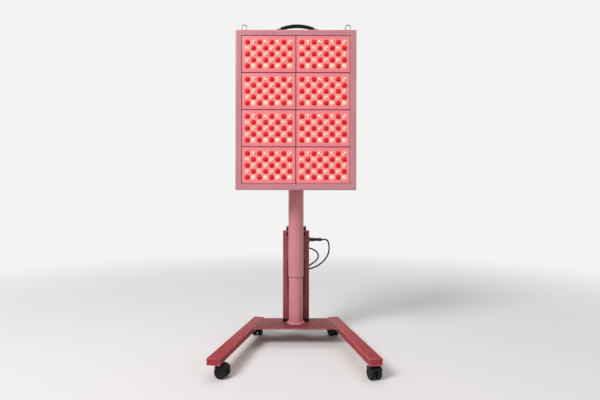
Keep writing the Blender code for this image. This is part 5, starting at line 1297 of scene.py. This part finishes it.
@dataclass(frozen=True)
class TiltHead:
    """The tilt joint between the column and the panel."""

    y: float = 0.1185
    z: float = 1.15
    yoke_half: float = 0.0326
    bolt_radius: float = 0.005
    head: float = 0.006
    spare: float = 0.012
    head_radius: float = 0.0090
    knob_radius: float = 0.0165
    knob: float = 0.016
    knob_low: float = 0.003
    knob_round: float = 0.0022
    lobes: int = 6
    lobe_share: float = 0.06
    hub_in: float = 0.0056
    hub_out: float = 0.0095
    hub: float = 0.004

    def build(self) -> None:
        """Makes the bolt and the knob, and dresses the yoke and the panel's lugs."""
        across = at(0, self.y, self.z) @ TO_X
        low = -self.yoke_half - SEAT
        outline = ring_points(self.head_radius, 6)
        head = softened(drawn(outline, low - self.head, low, across), 0.0006, 2)
        end = self.yoke_half + self.spare
        shank = spun(
            [(0, low - 0.001), (self.bolt_radius, low - 0.001), (self.bolt_radius, end - 0.0008),
             (self.bolt_radius - 0.0008, end), (0, end)], 40, across,
        )
        present("pivot_bolt_hex", together([head, shank]), PLATED, Body.CARRIAGE, ["pivot_bolt"])
        self.knob_piece(across)
        dress(BLACK_COAT, "tilt_yoke", "mount_plate")

    def knob_piece(self, across: Matrix) -> None:
        """Makes the lobed clamp knob."""
        start = self.yoke_half + SEAT
        count = self.lobes * 12
        outline = []
        for step in range(count):
            angle = math.tau * step / count
            dip = self.lobe_share * (1 - math.cos(self.lobes * angle))
            radius = self.knob_radius * (1 - dip)
            outline.append((radius * math.cos(angle), radius * math.sin(angle)))
        body = drawn(outline, start + self.knob_low, start + self.knob, across)
        softened(body, self.knob_round, 4, corner=50.0)
        end = start + self.hub
        hub = spun(
            [(self.hub_in, start), (self.hub_out, start), (self.hub_out, end), (self.hub_in, end)],
            32, across,
        )
        knob = together([body, hub])
        present("clamp_knob", knob, BLACK_NYLON, Body.KNOB, ["tilt_knob"], sharp=50.0)


@dataclass(frozen=True)
class Panel:
    """The lit panel: frame, module plates, lenses, housing and fittings."""

    width: float = 0.523
    height: float = 0.692
    front: float = 0.036
    back: float = 0.096
    z: float = 1.041
    rim_side: float = 0.0256
    rim_top: float = 0.0246
    frame_face: float = 0.0055
    frame_wall: float = 0.004
    frame_depth: float = 0.020
    outer_round: float = 0.005
    inner_round: float = 0.0025
    side_round: float = 0.004
    space: float = 0.0015
    recess: float = 0.002
    pan_depth: float = 0.0035
    pan_round: float = 0.0022
    columns: int = 2
    rows: int = 4
    led_columns: int = 8
    led_rows: int = 5
    pitch_x: float = 0.0262
    pitch_z: float = 0.0257
    lens_radius: float = 0.0104
    lens_height: float = 0.005
    lens_rim: float = 0.0008
    lens_sink: float = 0.0002
    lens_map: float = 2.04
    lens_steps: int = 12
    screw_inset: float = 0.013
    screw_radius: float = 0.0034
    screw_height: float = 0.0019

    def build(self) -> None:
        """Makes the panel's pieces."""
        self.frame_piece()
        self.rear_screws()
        red, clear = self.lens_mesh("red"), self.lens_mesh("clear")
        for column, side in enumerate(("left", "right")):
            for row in range(self.rows):
                self.module(f"module_{side}_{row + 1}", f"led_module_{side}_{row + 1}",
                            self.module_middle(column, row), red, clear)
        dress(SHADED_ALUMINIUM, "heat_sink")
        dress(PANEL_COAT_RED_LIT, "rear_housing")
        dress(BLACK_NYLON, "fan_frame", "fan_rotor")

    def frame_piece(self) -> None:
        """Makes the front frame: a rim with rounded edges and a wall behind it."""
        half_width, half_height = self.width / 2, self.height / 2
        low = Vector((-half_width, self.front, self.z - half_height))
        high = Vector((half_width, self.front + self.frame_depth, self.z + half_height))
        shape = bar(low, high)
        window, rear = (
            pick(shape.faces, key=lambda face: face.calc_center_median().y) for pick in (min, max)
        )
        opening = (half_width - self.rim_side, half_height - self.rim_top)
        self.open_to(shape, window, opening)
        self.open_to(shape, rear, (half_width - self.frame_wall, half_height - self.frame_wall))
        step = bmesh.ops.extrude_face_region(shape, geom=[rear])["geom"]
        pocket = next(part for part in step if isinstance(part, bmesh.types.BMFace))
        for vert in pocket.verts:
            vert.co.y = self.front + self.frame_face
        if rear.is_valid:
            bmesh.ops.delete(shape, geom=[rear], context="FACES_ONLY")
        self.open_to(shape, pocket, opening)
        edges = list(window.edges) + list(pocket.edges)
        bmesh.ops.delete(shape, geom=[window, pocket], context="FACES_ONLY")
        bmesh.ops.bridge_loops(shape, edges=edges)
        bmesh.ops.recalc_face_normals(shape, faces=shape.faces)
        face_y = self.front + NEAR
        outer = half_width - self.rim_side / 2
        softened(shape, self.inner_round, 4,
                 lambda spot: spot.y < face_y and abs(spot.x) < outer)
        softened(shape, self.outer_round, 7,
                 lambda spot: spot.y < face_y and abs(spot.x) > outer)
        softened(shape, self.side_round, 4,
                 lambda spot: abs(spot.x) > half_width - NEAR, corner=60.0)
        present("panel_frame", shape, PANEL_COAT_RED_LIT, Body.PANEL, ["front_frame"], sharp=40.0)

    def open_to(self, shape: Shape, face: bmesh.types.BMFace, reach: Point2) -> None:
        """Insets a face and moves its corners to a reach from the panel's middle.

        Args:
            shape: the shape that the face is in.
            face: the face, whose first inset can be of any size.
            reach: how far its corners end from the middle, in X and Z.
        """
        bmesh.ops.inset_region(shape, faces=[face], thickness=0.01)
        for vert in face.verts:
            vert.co.x = math.copysign(reach[0], vert.co.x)
            vert.co.z = self.z + math.copysign(reach[1], vert.co.z - self.z)

    def rear_screws(self) -> None:
        """Makes the small round-headed screws round the edge of the housing's back."""
        reach_x = self.width / 2 - self.screw_inset
        reach_z = self.height / 2 - self.screw_inset
        spots = [(x * reach_x, z * reach_z) for x in (-1, -1 / 3, 1 / 3, 1) for z in (-1, 1)]
        spots += [(x * reach_x, z * reach_z) for x in (-1, 1) for z in (-1 / 3, 1 / 3)]
        radius, height = self.screw_radius, self.screw_height
        head = [
            (0, -0.0012), (radius, -0.0012), (radius, height * 0.35), (radius * 0.86, height * 0.72),
            (radius * 0.60, height * 0.95), (radius * 0.42, height), (radius * 0.36, height * 0.4),
            (0, height * 0.4),
        ]
        screws = [spun(head, 20, at(x, self.back, self.z + z) @ TO_BACK) for x, z in spots]
        present("housing_screws", together(screws), PLATED, Body.PANEL)

    def module_size(self) -> Point2:
        """Returns a module's width and height."""
        open_width = self.width - 2 * self.rim_side
        open_height = self.height - 2 * self.rim_top
        return (
            (open_width - (self.columns + 1) * self.space) / self.columns,
            (open_height - (self.rows + 1) * self.space) / self.rows,
        )

    def module_middle(self, column: int, row: int) -> Vector:
        """Returns the middle of a module's face."""
        width, height = self.module_size()
        return Vector((
            (column - (self.columns - 1) / 2) * (width + self.space),
            self.front + self.recess,
            self.z + ((self.rows - 1) / 2 - row) * (height + self.space),
        ))

    def lens_mesh(self, name: str) -> bpy.types.Mesh:
        """Returns a lens's mesh about its own middle, pointing up Z, with its UV map."""
        radius, rim, sink = self.lens_radius, self.lens_rim, self.lens_sink
        profile = [(0, -sink), (radius, -sink), (radius, rim)]
        for share in (0.30, 0.62, 0.86):
            angle = share * math.pi / 2
            profile.append((
                radius * 0.97 * math.cos(angle),
                rim + (self.lens_height - rim) * math.sin(angle),
            ))
        profile.append((0, self.lens_height))
        shape = spun(profile, self.lens_steps)
        layer = shape.loops.layers.uv.new(CELL_MAP)
        across = self.lens_map * radius
        for face in shape.faces:
            for loop in face.loops:
                spot = loop.vert.co
                loop[layer].uv = (0.5 + spot.x / across, 0.5 + spot.y / across)
        mesh = bpy.data.meshes.new(f"{name}_lens")
        shape.to_mesh(mesh)
        shape.free()
        return mesh

    def module(self, name: str, node: str, middle: Vector, red: bpy.types.Mesh,
               clear: bpy.types.Mesh) -> None:
        """Makes one module: its plate and its checkerboard of lenses.

        Args:
            name: what its pieces' names start with.
            node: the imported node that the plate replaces.
            middle: the middle of its face.
            red: a red lens's mesh.
            clear: a clear lens's mesh.
        """
        width, height = self.module_size()
        low = middle - Vector((width / 2, 0, height / 2))
        high = middle + Vector((width / 2, self.pan_depth, height / 2))
        plate = bar(low, high)
        softened(plate, self.pan_round, 4, lambda spot: spot.y < middle.y + NEAR)
        layer = plate.loops.layers.uv.new(CELL_MAP)
        for face in plate.faces:
            for loop in face.loops:
                spot = loop.vert.co - middle
                loop[layer].uv = (
                    spot.x / self.pitch_x + self.led_columns / 2,
                    -spot.z / self.pitch_z + self.led_rows / 2,
                )
        present(f"{name}_plate", plate, MODULE_PLATE, Body.PANEL, [node])
        fields: dict[str, Shape] = {"red": bmesh.new(), "clear": bmesh.new()}
        for led in range(self.led_columns * self.led_rows):
            across, down = led % self.led_columns, led // self.led_columns
            kind = "red" if (across + down) % 2 == 0 else "clear"
            field = fields[kind]
            known, faces = len(field.verts), len(field.faces)
            field.from_mesh(red if kind == "red" else clear)
            field.verts.ensure_lookup_table()
            field.faces.ensure_lookup_table()
            layer = field.loops.layers.uv[CELL_MAP]
            for face in field.faces[faces:]:
                for loop in face.loops:
                    loop[layer].uv += Vector((across, down))
            spot = middle + Vector((
                (across - (self.led_columns - 1) / 2) * self.pitch_x, 0,
                ((self.led_rows - 1) / 2 - down) * self.pitch_z,
            ))
            bmesh.ops.transform(
                field, matrix=Matrix.Translation(spot) @ TO_FRONT, verts=field.verts[known:]
            )
        present(f"{name}_red_lenses", fields["red"], RED_LENS, Body.PANEL)
        present(f"{name}_clear_lenses", fields["clear"], CLEAR_LENS, Body.PANEL)


@dataclass(frozen=True)
class PanelTop:
    """The eye bolts, the carrying handle and the gland on the panel."""

    top: float = 1.387
    eye_spread: float = 0.2275
    eye_y: float = 0.070
    eye_radius: float = 0.0118
    wire: float = 0.0022
    rise: float = 0.021
    handle_x: float = 0.005
    handle_y: float = 0.066
    grip_half: float = 0.0735
    grip_width: float = 0.024
    end_low: float = 0.0075
    end_high: float = 0.0165
    mid_low: float = 0.0205
    mid_high: float = 0.0305
    arm_width: float = 0.018
    arm: float = 0.003
    foot_out: float = 0.118
    foot_in: float = 0.103
    join_low: float = 0.009
    join_high: float = 0.0145
    stud_radius: float = 0.0025
    stud_low: float = -0.0065
    grip_round: float = 0.0035
    steps: int = 24
    gland_place: Point3 = (0.180, 0.096, 0.745)
    gland_wall: float = 0.0015

    def build(self) -> None:
        """Makes the fittings."""
        for side, sign in (("left", -1), ("right", 1)):
            self.eye(side, sign)
            self.arm_piece(side, sign)
        self.grip()
        self.gland()

    def eye(self, side: str, sign: int) -> None:
        """Makes an eye bolt."""
        foot = at(sign * self.eye_spread, self.eye_y, self.top)
        shank = spun(
            [(0, -0.008), (0.003, -0.008), (0.003, SEAT), (0.0065, SEAT), (0.0065, 0.0026),
             (0.0058, 0.0033), (0.0042, 0.0036), (0.0032, 0.0052), (0.003, 0.0085), (0, 0.0092)],
            32, foot,
        )
        ring = ring_points(self.wire, 14, (self.eye_radius, 0.0))
        loop = spun(ring, 48, foot @ at(0, 0, self.rise) @ TO_BACK)
        present(f"eye_{side}", together([shank, loop]), PLATED, Body.PANEL, [f"eye_bolt_{side}"])

    def arm_piece(self, side: str, sign: int) -> None:
        """Makes one of the two metal arms that carry the grip."""
        low, high = SEAT, SEAT + self.arm
        join = self.grip_half + SEAT
        outline = [
            (sign * self.foot_out, low), (sign * self.foot_in, low),
            (sign * join, self.join_low), (sign * join, self.join_high),
            (sign * self.foot_in, high + self.arm / 2), (sign * self.foot_out, high),
        ]
        place = at(self.handle_x, self.handle_y, self.top) @ TO_FRONT
        half = self.arm_width / 2
        strap = softened(drawn(outline, -half, half, place), 0.0009, 3)
        middle = (self.foot_out + self.foot_in) / 2
        foot = at(self.handle_x + sign * middle, self.handle_y, self.top)
        stud = rod(self.stud_radius, self.stud_low, 0.001, 20, foot)
        head = spun(
            [(0, 0.003), (0.0048, 0.003), (0.0048, 0.0050), (0.0040, 0.0060), (0.0022, 0.0062),
             (0.0022, 0.0046), (0, 0.0046)], 24, foot,
        )
        present(f"handle_strap_{side}", together([strap, stud, head]), PLATED, Body.PANEL,
                [f"handle_arm_{side}"])

    def grip(self) -> None:
        """Makes the arched grip."""
        under, over = [], []
        for step in range(self.steps + 1):
            share = 2 * step / self.steps - 1
            crown = 1 - share * share
            x = self.grip_half * share
            under.append((x, self.end_low + (self.mid_low - self.end_low) * crown))
            over.append((x, self.end_high + (self.mid_high - self.end_high) * crown))
        half = self.grip_width / 2
        place = at(self.handle_x, self.handle_y, self.top) @ TO_FRONT
        shape = drawn(under + over[::-1], -half, half, place)
        near, far = self.handle_y - half + NEAR, self.handle_y + half - NEAR
        softened(shape, self.grip_round, 5, lambda spot: spot.y < near or spot.y > far, corner=60.0)
        present("grip_moulding", shape, BLACK_RUBBER, Body.PANEL, ["handle_grip"], sharp=50.0)

    def gland(self) -> None:
        """Makes the cable gland in the housing's back."""
        place = at(*self.gland_place) @ TO_BACK
        Gland(self.gland_wall).build("panel_gland", place, Body.PANEL, "panel_cable_gland")


@dataclass(frozen=True)
class Gland:
    """A cable gland: a nut on each side of a wall, a neck through it and a dome outside."""

    wall: float
    nut: float = 0.004
    nut_radius: float = 0.0094
    nut_edge: float = 0.0006
    neck_radius: float = 0.0065
    neck_spare: float = 0.002
    dome_radius: float = 0.0075
    dome_round: float = 0.003
    dome_low: float = 0.003
    dome_straight: float = 0.0075
    dome_curve: float = 0.0080
    dome_rise: float = 0.004

    def build(self, name: str, place: Matrix, body: Body, node: str) -> None:
        """Makes the gland.

        Args:
            name: the piece's name.
            place: where its wall's outer face stands, with Z pointing out of it.
            body: what it rides on.
            node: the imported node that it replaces.
        """
        outline = ring_points(self.nut_radius, 6)
        behind = -self.wall - SEAT
        nut = softened(drawn(outline, SEAT, SEAT + self.nut, place), self.nut_edge, 2)
        inner = softened(drawn(outline, behind - self.nut, behind, place), self.nut_edge, 2)
        neck = rod(self.neck_radius, behind - self.neck_spare, SEAT + self.neck_spare, 32, place)
        low, curve = SEAT + self.dome_low, SEAT + self.dome_curve
        dome = [
            (0, low), (self.dome_radius, low), (self.dome_radius, SEAT + self.dome_straight),
        ]
        for step in range(1, 6):
            angle = step / 5 * math.pi / 2
            dome.append((
                self.dome_radius - self.dome_round + self.dome_round * math.cos(angle),
                curve + self.dome_rise * math.sin(angle),
            ))
        dome.append((0, curve + self.dome_rise))
        parts = [nut, inner, neck, spun(dome, 36, place)]
        present(name, together(parts), BLACK_NYLON, body, [node])


@dataclass(frozen=True)
class Base:
    """The two splayed legs, the plates between them and their bolts."""

    leg_width: float = 0.050
    leg_height: float = 0.026
    leg_corner: float = 0.0025
    leg_length: float = 0.572
    splay: float = math.radians(11.4)
    mid_x: float = 0.2365
    leg_low: float = 0.0561
    plate: float = 0.006
    plate_front: float = 0.088
    plate_rear: float = 0.258
    hole: float = 0.0325
    pole_y: float = 0.176
    stem_inset: float = 0.044
    stem_hole: float = 0.0045
    stem_rise: Band = (-0.001, 0.003)
    end_inset: float = 0.0018
    end_ramp: float = 0.0007
    end_edge: float = 0.0006
    bolt_x: float = 0.048
    bolt_hole: float = 0.0043
    spare: float = 0.004
    gland_place: Point3 = (0.020, 0.2705, 0.0758)
    gland_wall: float = 0.005

    def build(self) -> None:
        """Makes the legs and the plate, and dresses what is under it."""
        for name, side in (("leg_left", -1), ("leg_right", 1)):
            self.leg(name, side)
        self.cross_plate()
        dress(PLATE_COAT_RED_SHADED, "foot_plate")
        dress(PLATED, "foot_bolt_left", "foot_bolt_right")
        place = at(*self.gland_place)
        Gland(self.gland_wall).build("foot_gland", place, Body.BASE, "lead_gland")

    def leg_place(self, side: int) -> Matrix:
        """Returns where a leg stands."""
        return at(side * self.mid_x, 0, 0) @ Matrix.Rotation(side * self.splay, 4, "Z")

    def stem_place(self, end: int, side: int) -> Matrix:
        """Returns where a caster's stem stands."""
        inset = end * (self.leg_length / 2 - self.stem_inset)
        return at(*(self.leg_place(side) @ Vector((0, inset, 0))))

    def leg(self, name: str, side: int) -> None:
        """Makes a leg with its welded ends."""
        reach = self.leg_length / 2
        place = self.leg_place(side) @ at(0, 0, self.leg_low + self.leg_height / 2) @ TO_BACK
        outline = rounded_outline(self.leg_width, self.leg_height, self.leg_corner, 6)
        tube = drawn(outline, -reach, reach)
        for end in [face for face in tube.faces if abs(face.normal.z) > 0.9]:
            bmesh.ops.inset_region(tube, faces=[end], thickness=self.end_inset)
            bmesh.ops.inset_region(
                tube, faces=[end], thickness=self.end_ramp, depth=-self.end_edge
            )
        rim_x = self.leg_width / 2 - self.leg_corner - 0.0005
        rim_y = self.leg_height / 2 - 0.0005
        softened(
            tube, self.end_edge, 2,
            lambda spot: abs(spot.z) > reach - NEAR and (abs(spot.x) > rim_x or abs(spot.y) > rim_y),
            corner=70.0,
        )
        low, high = self.stem_rise
        holes = [
            rod(self.stem_hole, 0, high - low, 24,
                self.stem_place(end, side) @ at(0, 0, self.leg_low + low))
            for end in (-1, 1)
        ]
        present(f"{name}_tube", carved(placed(tube, place), holes), LEG_COAT_RED_SHADED, Body.BASE, [name])

    def plate_half(self, y: float) -> float:
        """Returns half the plate's width at a depth."""
        return (
            self.mid_x - y * math.tan(self.splay)
            - (self.leg_width / 2 + SEAT) / math.cos(self.splay)
        )

    def cross_plate(self) -> None:
        """Makes the plate between the legs, with the mast's hole."""
        high = self.leg_low + self.leg_height
        low = high - self.plate
        front, rear = self.plate_front, self.plate_rear
        outline = [
            (-self.plate_half(front), front), (self.plate_half(front), front),
            (self.plate_half(rear), rear), (-self.plate_half(rear), rear),
        ]
        shape = softened(drawn(outline, low, high), 0.0015, 3)
        under = low - self.spare
        hole = rod(self.hole, under, high + self.spare, 64, at(0, self.pole_y, 0))
        bolts = [
            rod(self.bolt_hole, under, low + self.bolt_hole, 24, at(x, self.pole_y, 0))
            for x in (-self.bolt_x, self.bolt_x)
        ]
        present("base_plate", carved(shape, [hole, *bolts]), PLATE_COAT_RED_SHADED, Body.BASE, ["cross_plate"])


@dataclass(frozen=True)
class Casters:
    """The four twin-wheel casters."""

    base: Base
    radius: float = 0.0235
    width: float = 0.044
    gap: float = 0.0118
    trail: float = 0.020
    hood_gap: float = 0.0015
    hood_wall: float = 0.002
    inner_round: float = 0.0035
    outer_round: float = 0.0045
    axle_radius: float = 0.004
    boss: float = 0.009
    web_edge: float = 0.0008
    web_back: float = -0.0085
    stem_radius: float = 0.004
    stem_rise: float = 0.020
    headings: tuple[tuple[str, int, int, float], ...] = (
        ("front_left", -1, -1, -112.0), ("front_right", -1, 1, -165.0),
        ("rear_left", 1, -1, -10.0), ("rear_right", 1, 1, 30.0),
    )

    def build(self) -> None:
        """Makes the casters."""
        for corner, end, side, heading in self.headings:
            place = self.base.stem_place(end, side) @ Matrix.Rotation(math.radians(heading), 4, "Z")
            self.fork(corner, place)
            self.wheels(corner, place @ at(0, self.trail, self.radius) @ TO_X)

    def wheels(self, corner: str, axle: Matrix) -> None:
        """Makes both wheels of a caster with their axle."""
        near, far = self.gap / 2, self.width / 2
        half = [(self.axle_radius, near)]
        for soft, centre_z, start in (
            (self.inner_round, near + self.inner_round, -90),
            (self.outer_round, far - self.outer_round, 0),
        ):
            middle = self.radius - soft
            for step in range(6):
                angle = math.radians(start + 90 * step / 5)
                half.append((middle + soft * math.cos(angle), centre_z + soft * math.sin(angle)))
        half += [
            (0.0165, far), (0.0158, far - 0.0008), (0.0150, far - 0.0008), (0.0142, far - 0.0002),
            (0.0100, far - 0.0006), (0.0092, far - 0.0018), (0.0052, far - 0.0018),
            (0.0045, far - 0.0010), (0, far - 0.0008),
        ]
        profile = [(radius, -distance) for radius, distance in half[::-1]] + half
        present(f"{corner}_wheels", spun(profile, 48, axle), WHEEL_NYLON,
                f"wheels_{corner}", [f"caster_{corner}_wheels"])

    def fork(self, corner: str, place: Matrix) -> None:
        """Makes a caster's fork with its hood and stem."""
        hood_top = 2 * self.radius + self.hood_gap + self.hood_wall
        half_web = self.gap / 2 - SEAT
        turns = [math.radians(200 + 20 * step) for step in range(10)]
        foot = self.about_axle(self.boss, turns)
        back, under = self.web_back, hood_top - 0.0015
        web_outline = [*foot, (self.trail, under), (back, under), (back, hood_top - 0.022),
                       (back + 0.002, hood_top - 0.026)]
        web = side_view(web_outline, -half_web, half_web)
        softened(web, self.web_edge, 2, corner=50.0)
        inner = self.radius + self.hood_gap
        turns = [math.radians(30 + 120 * step / 24) for step in range(25)]
        hood = self.about_axle(inner, turns) + self.about_axle(inner + self.hood_wall, turns[::-1])
        half = self.width / 2
        arch = softened(side_view(hood, -half, half), self.web_edge, 2, corner=60.0)
        top = hood_top + SEAT + 0.005
        end = top + self.stem_rise
        stem = spun(
            [(0, hood_top - 0.003), (0.0122, hood_top - 0.003), (0.0124, hood_top),
             (0.0130, hood_top + 0.002), (0.0130, top - 0.0006), (0.0124, top),
             (self.stem_radius, top), (self.stem_radius, end - 0.0005),
             (self.stem_radius - 0.0005, end), (0, end)], 40,
        )
        parts = [placed(part, place) for part in (web, arch, stem)]
        present(f"{corner}_fork", together(parts), BLACK_NYLON, f"caster_{corner}",
                [f"caster_{corner}_fork"])

    def about_axle(self, radius: float, turns: Sequence[float]) -> list[Point2]:
        """Returns (y, z) points at a radius about the wheels' axle, at given angles."""
        return [
            (self.trail + radius * math.cos(turn), self.radius + radius * math.sin(turn))
            for turn in turns
        ]


@dataclass(frozen=True)
class PowerBox:
    """The power box behind the column, with its feet, screws and mains inlet."""

    width: float = 0.124
    face: float = 0.217
    low: float = 0.0897
    high: float = 0.5057
    feet_low: float = 0.0824
    feet_high: float = 0.0894
    feet_width: float = 0.025
    feet_front: float = 0.195
    feet_rear: float = 0.255
    ear_spread: float = 0.041
    ear_z: float = 0.5177
    ear_y: float = 0.2605
    cover_rear: float = 0.2602
    sheet: float = 0.0015
    fold: float = 0.002
    vents: int = 14
    vent_pitch: float = 0.0119
    vent_rise: float = 0.122
    vent_width: float = 0.087
    vent_height: float = 0.0048
    keyhole_spread: float = 0.0385
    keyhole_drop: float = 0.018
    keyhole_radius: float = 0.0055
    keyhole_half: float = 0.0025
    keyhole_rise: float = 0.014
    socket_hole: float = 0.0083
    socket_y: float = 0.239
    socket_z: float = 0.4627
    pins: tuple[Point2, ...] = ((-0.037, 0.1283), (-0.023, 0.1283), (-0.030, 0.1325))
    pin_half: Point2 = (0.002, 0.0008)
    pin_y: Band = (0.2524, 0.2600)
    rocker_place: Point3 = (-0.03, 0.2603, 0.1557)
    rocker_tilt: float = -7.0
    rocker_reach: float = 0.01073
    rocker_half: float = 0.0117
    rocker_back: float = -0.00375
    rocker_face: float = 0.0018
    rocker_crown: float = 0.0011
    rocker_pin: float = 0.01375

    def build(self) -> None:
        """Makes the cover, feet, screws and the inlet's details, and dresses the rest of the box."""
        self.cover()
        dress(BOX_COAT_RED_SHADED, "box_bracket")
        # The power supply is dressed black so that the vent slots read dark: painted shade inside
        # the box.
        dress(BLACK_COAT, "box_back_plate", "power_supply")
        dress(BLACK_NYLON, "mains_inlet")
        for name, side in (("left", -1), ("right", 1)):
            near, far = sorted((side * (self.width / 2 - self.feet_width), side * self.width / 2))
            # The black feet reach forward of the box's face and stand partly for the shade under its
            # front edge.
            foot = bar((near, self.feet_front, self.feet_low), (far, self.feet_rear, self.feet_high),
                       0.0014, 3)
            present(f"rubber_foot_{name}", foot, BLACK_RUBBER, Body.BASE, [f"box_foot_{name}"])
            self.ear_screw(name, side)
        self.inlet_pins()
        self.rocker()

    def cover(self) -> None:
        """Makes the folded sheet cover with its vent slots, keyholes and the socket's hole."""
        half, sheet = self.width / 2, self.sheet
        shape = bar((-half, self.face, self.low), (half, self.cover_rear, self.high))
        softened(shape, self.fold, 5, lambda spot: spot.y < self.face + NEAR)
        inside = bar(
            (sheet - half, self.face + sheet, self.low + sheet),
            (half - sheet, self.cover_rear + sheet, self.high - sheet),
        )
        shape = carved(shape, [inside])
        cutters = [self.keyhole(-1), self.keyhole(1)]
        slot = rounded_outline(self.vent_width, self.vent_height, self.vent_height * 0.48, 4)
        for row in range(self.vents):
            height = self.low + self.vent_rise + row * self.vent_pitch
            cutters.append(drawn(slot, -2 * sheet, 2 * sheet, at(0, self.face, height) @ TO_FRONT))
        side = at(half, self.socket_y, self.socket_z) @ TO_X
        cutters.append(rod(self.socket_hole, -2 * sheet, 2 * sheet, 40, side))
        present("box_sheet_cover", carved(shape, cutters), BOX_COAT_RED_SHADED, Body.BASE, ["box_cover"])

    def keyhole(self, side: int) -> Shape:
        """Returns the cutter of a keyhole: a round hole with a narrow slot above it."""
        half, radius = self.keyhole_half, self.keyhole_radius
        narrow = math.asin(half / radius)
        outline = [(half, self.keyhole_rise), (-half, self.keyhole_rise)]
        for step in range(25):
            turn = math.pi / 2 + narrow + (math.tau - 2 * narrow) * step / 24
            outline.append((radius * math.cos(turn), radius * math.sin(turn)))
        place = at(side * self.keyhole_spread, self.face, self.high - self.keyhole_drop) @ TO_FRONT
        return drawn(outline, -2 * self.sheet, 2 * self.sheet, place)

    def ear_screw(self, name: str, side: int) -> None:
        """Makes a screw in one of the back plate's ears."""
        place = at(side * self.ear_spread, self.ear_y - SEAT, self.ear_z) @ TO_FRONT
        profile = [
            (0, -0.0055), (0.002, -0.0055), (0.002, 0), (0.004, 0), (0.004, 0.0009),
            (0.0034, 0.0016), (0.0022, 0.0020), (0.0012, 0.0020), (0.0009, 0.0012), (0, 0.0012),
        ]
        present(f"ear_screw_{name}", spun(profile, 28, place), PLATED, Body.BASE,
                [f"box_ear_screw_{name}"])

    def inlet_pins(self) -> None:
        """Makes the three flat pins in the mains inlet's mouth."""
        (half_x, half_z), (inner, outer) = self.pin_half, self.pin_y
        pins = [
            bar((x - half_x, inner, z - half_z), (x + half_x, outer, z + half_z), 0.0004, 2)
            for x, z in self.pins
        ]
        present("inlet_pins", together(pins), PLATED, Body.BASE)

    def rocker(self) -> None:
        """Makes the rocker with its dished, rounded cap."""
        tilt = Matrix.Rotation(math.radians(self.rocker_tilt), 4, "X")
        axis = at(*self.rocker_place) @ tilt
        reach, half, face = self.rocker_reach, self.rocker_half, self.rocker_face
        outline = [(self.rocker_back, -reach / 2), (face - 0.0008, -reach), (face, -reach)]
        for step in range(1, 12):
            share = 2 * step / 12 - 1
            outline.append((face + self.rocker_crown * (1 - share * share), reach * share))
        outline += [(face, reach), (face - 0.0008, reach), (self.rocker_back, reach / 2)]
        cap = softened(placed(side_view(outline, -half, half), axis), 0.0004, 2, corner=40.0)
        pin = rod(0.001, -self.rocker_pin, self.rocker_pin, 16, axis @ TO_X)
        present("rocker_cap", together([cap, pin]), BLACK_NYLON, Body.ROCKER, ["power_rocker"])


def main() -> None:
    """Builds the studio and dresses the whole object."""
    logging.basicConfig(level=logging.INFO, format="%(name)s: %(message)s", stream=sys.stdout)
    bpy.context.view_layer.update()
    Studio().build()
    Lead().build(Connector().build())
    base = Base()
    base.build()
    Casters(base).build()
    Column().build()
    Lever().build()
    PowerBox().build()
    TiltHead().build()
    Panel().build()
    PanelTop().build()
    bpy.context.view_layer.update()


if __name__ == "__main__":
    main()
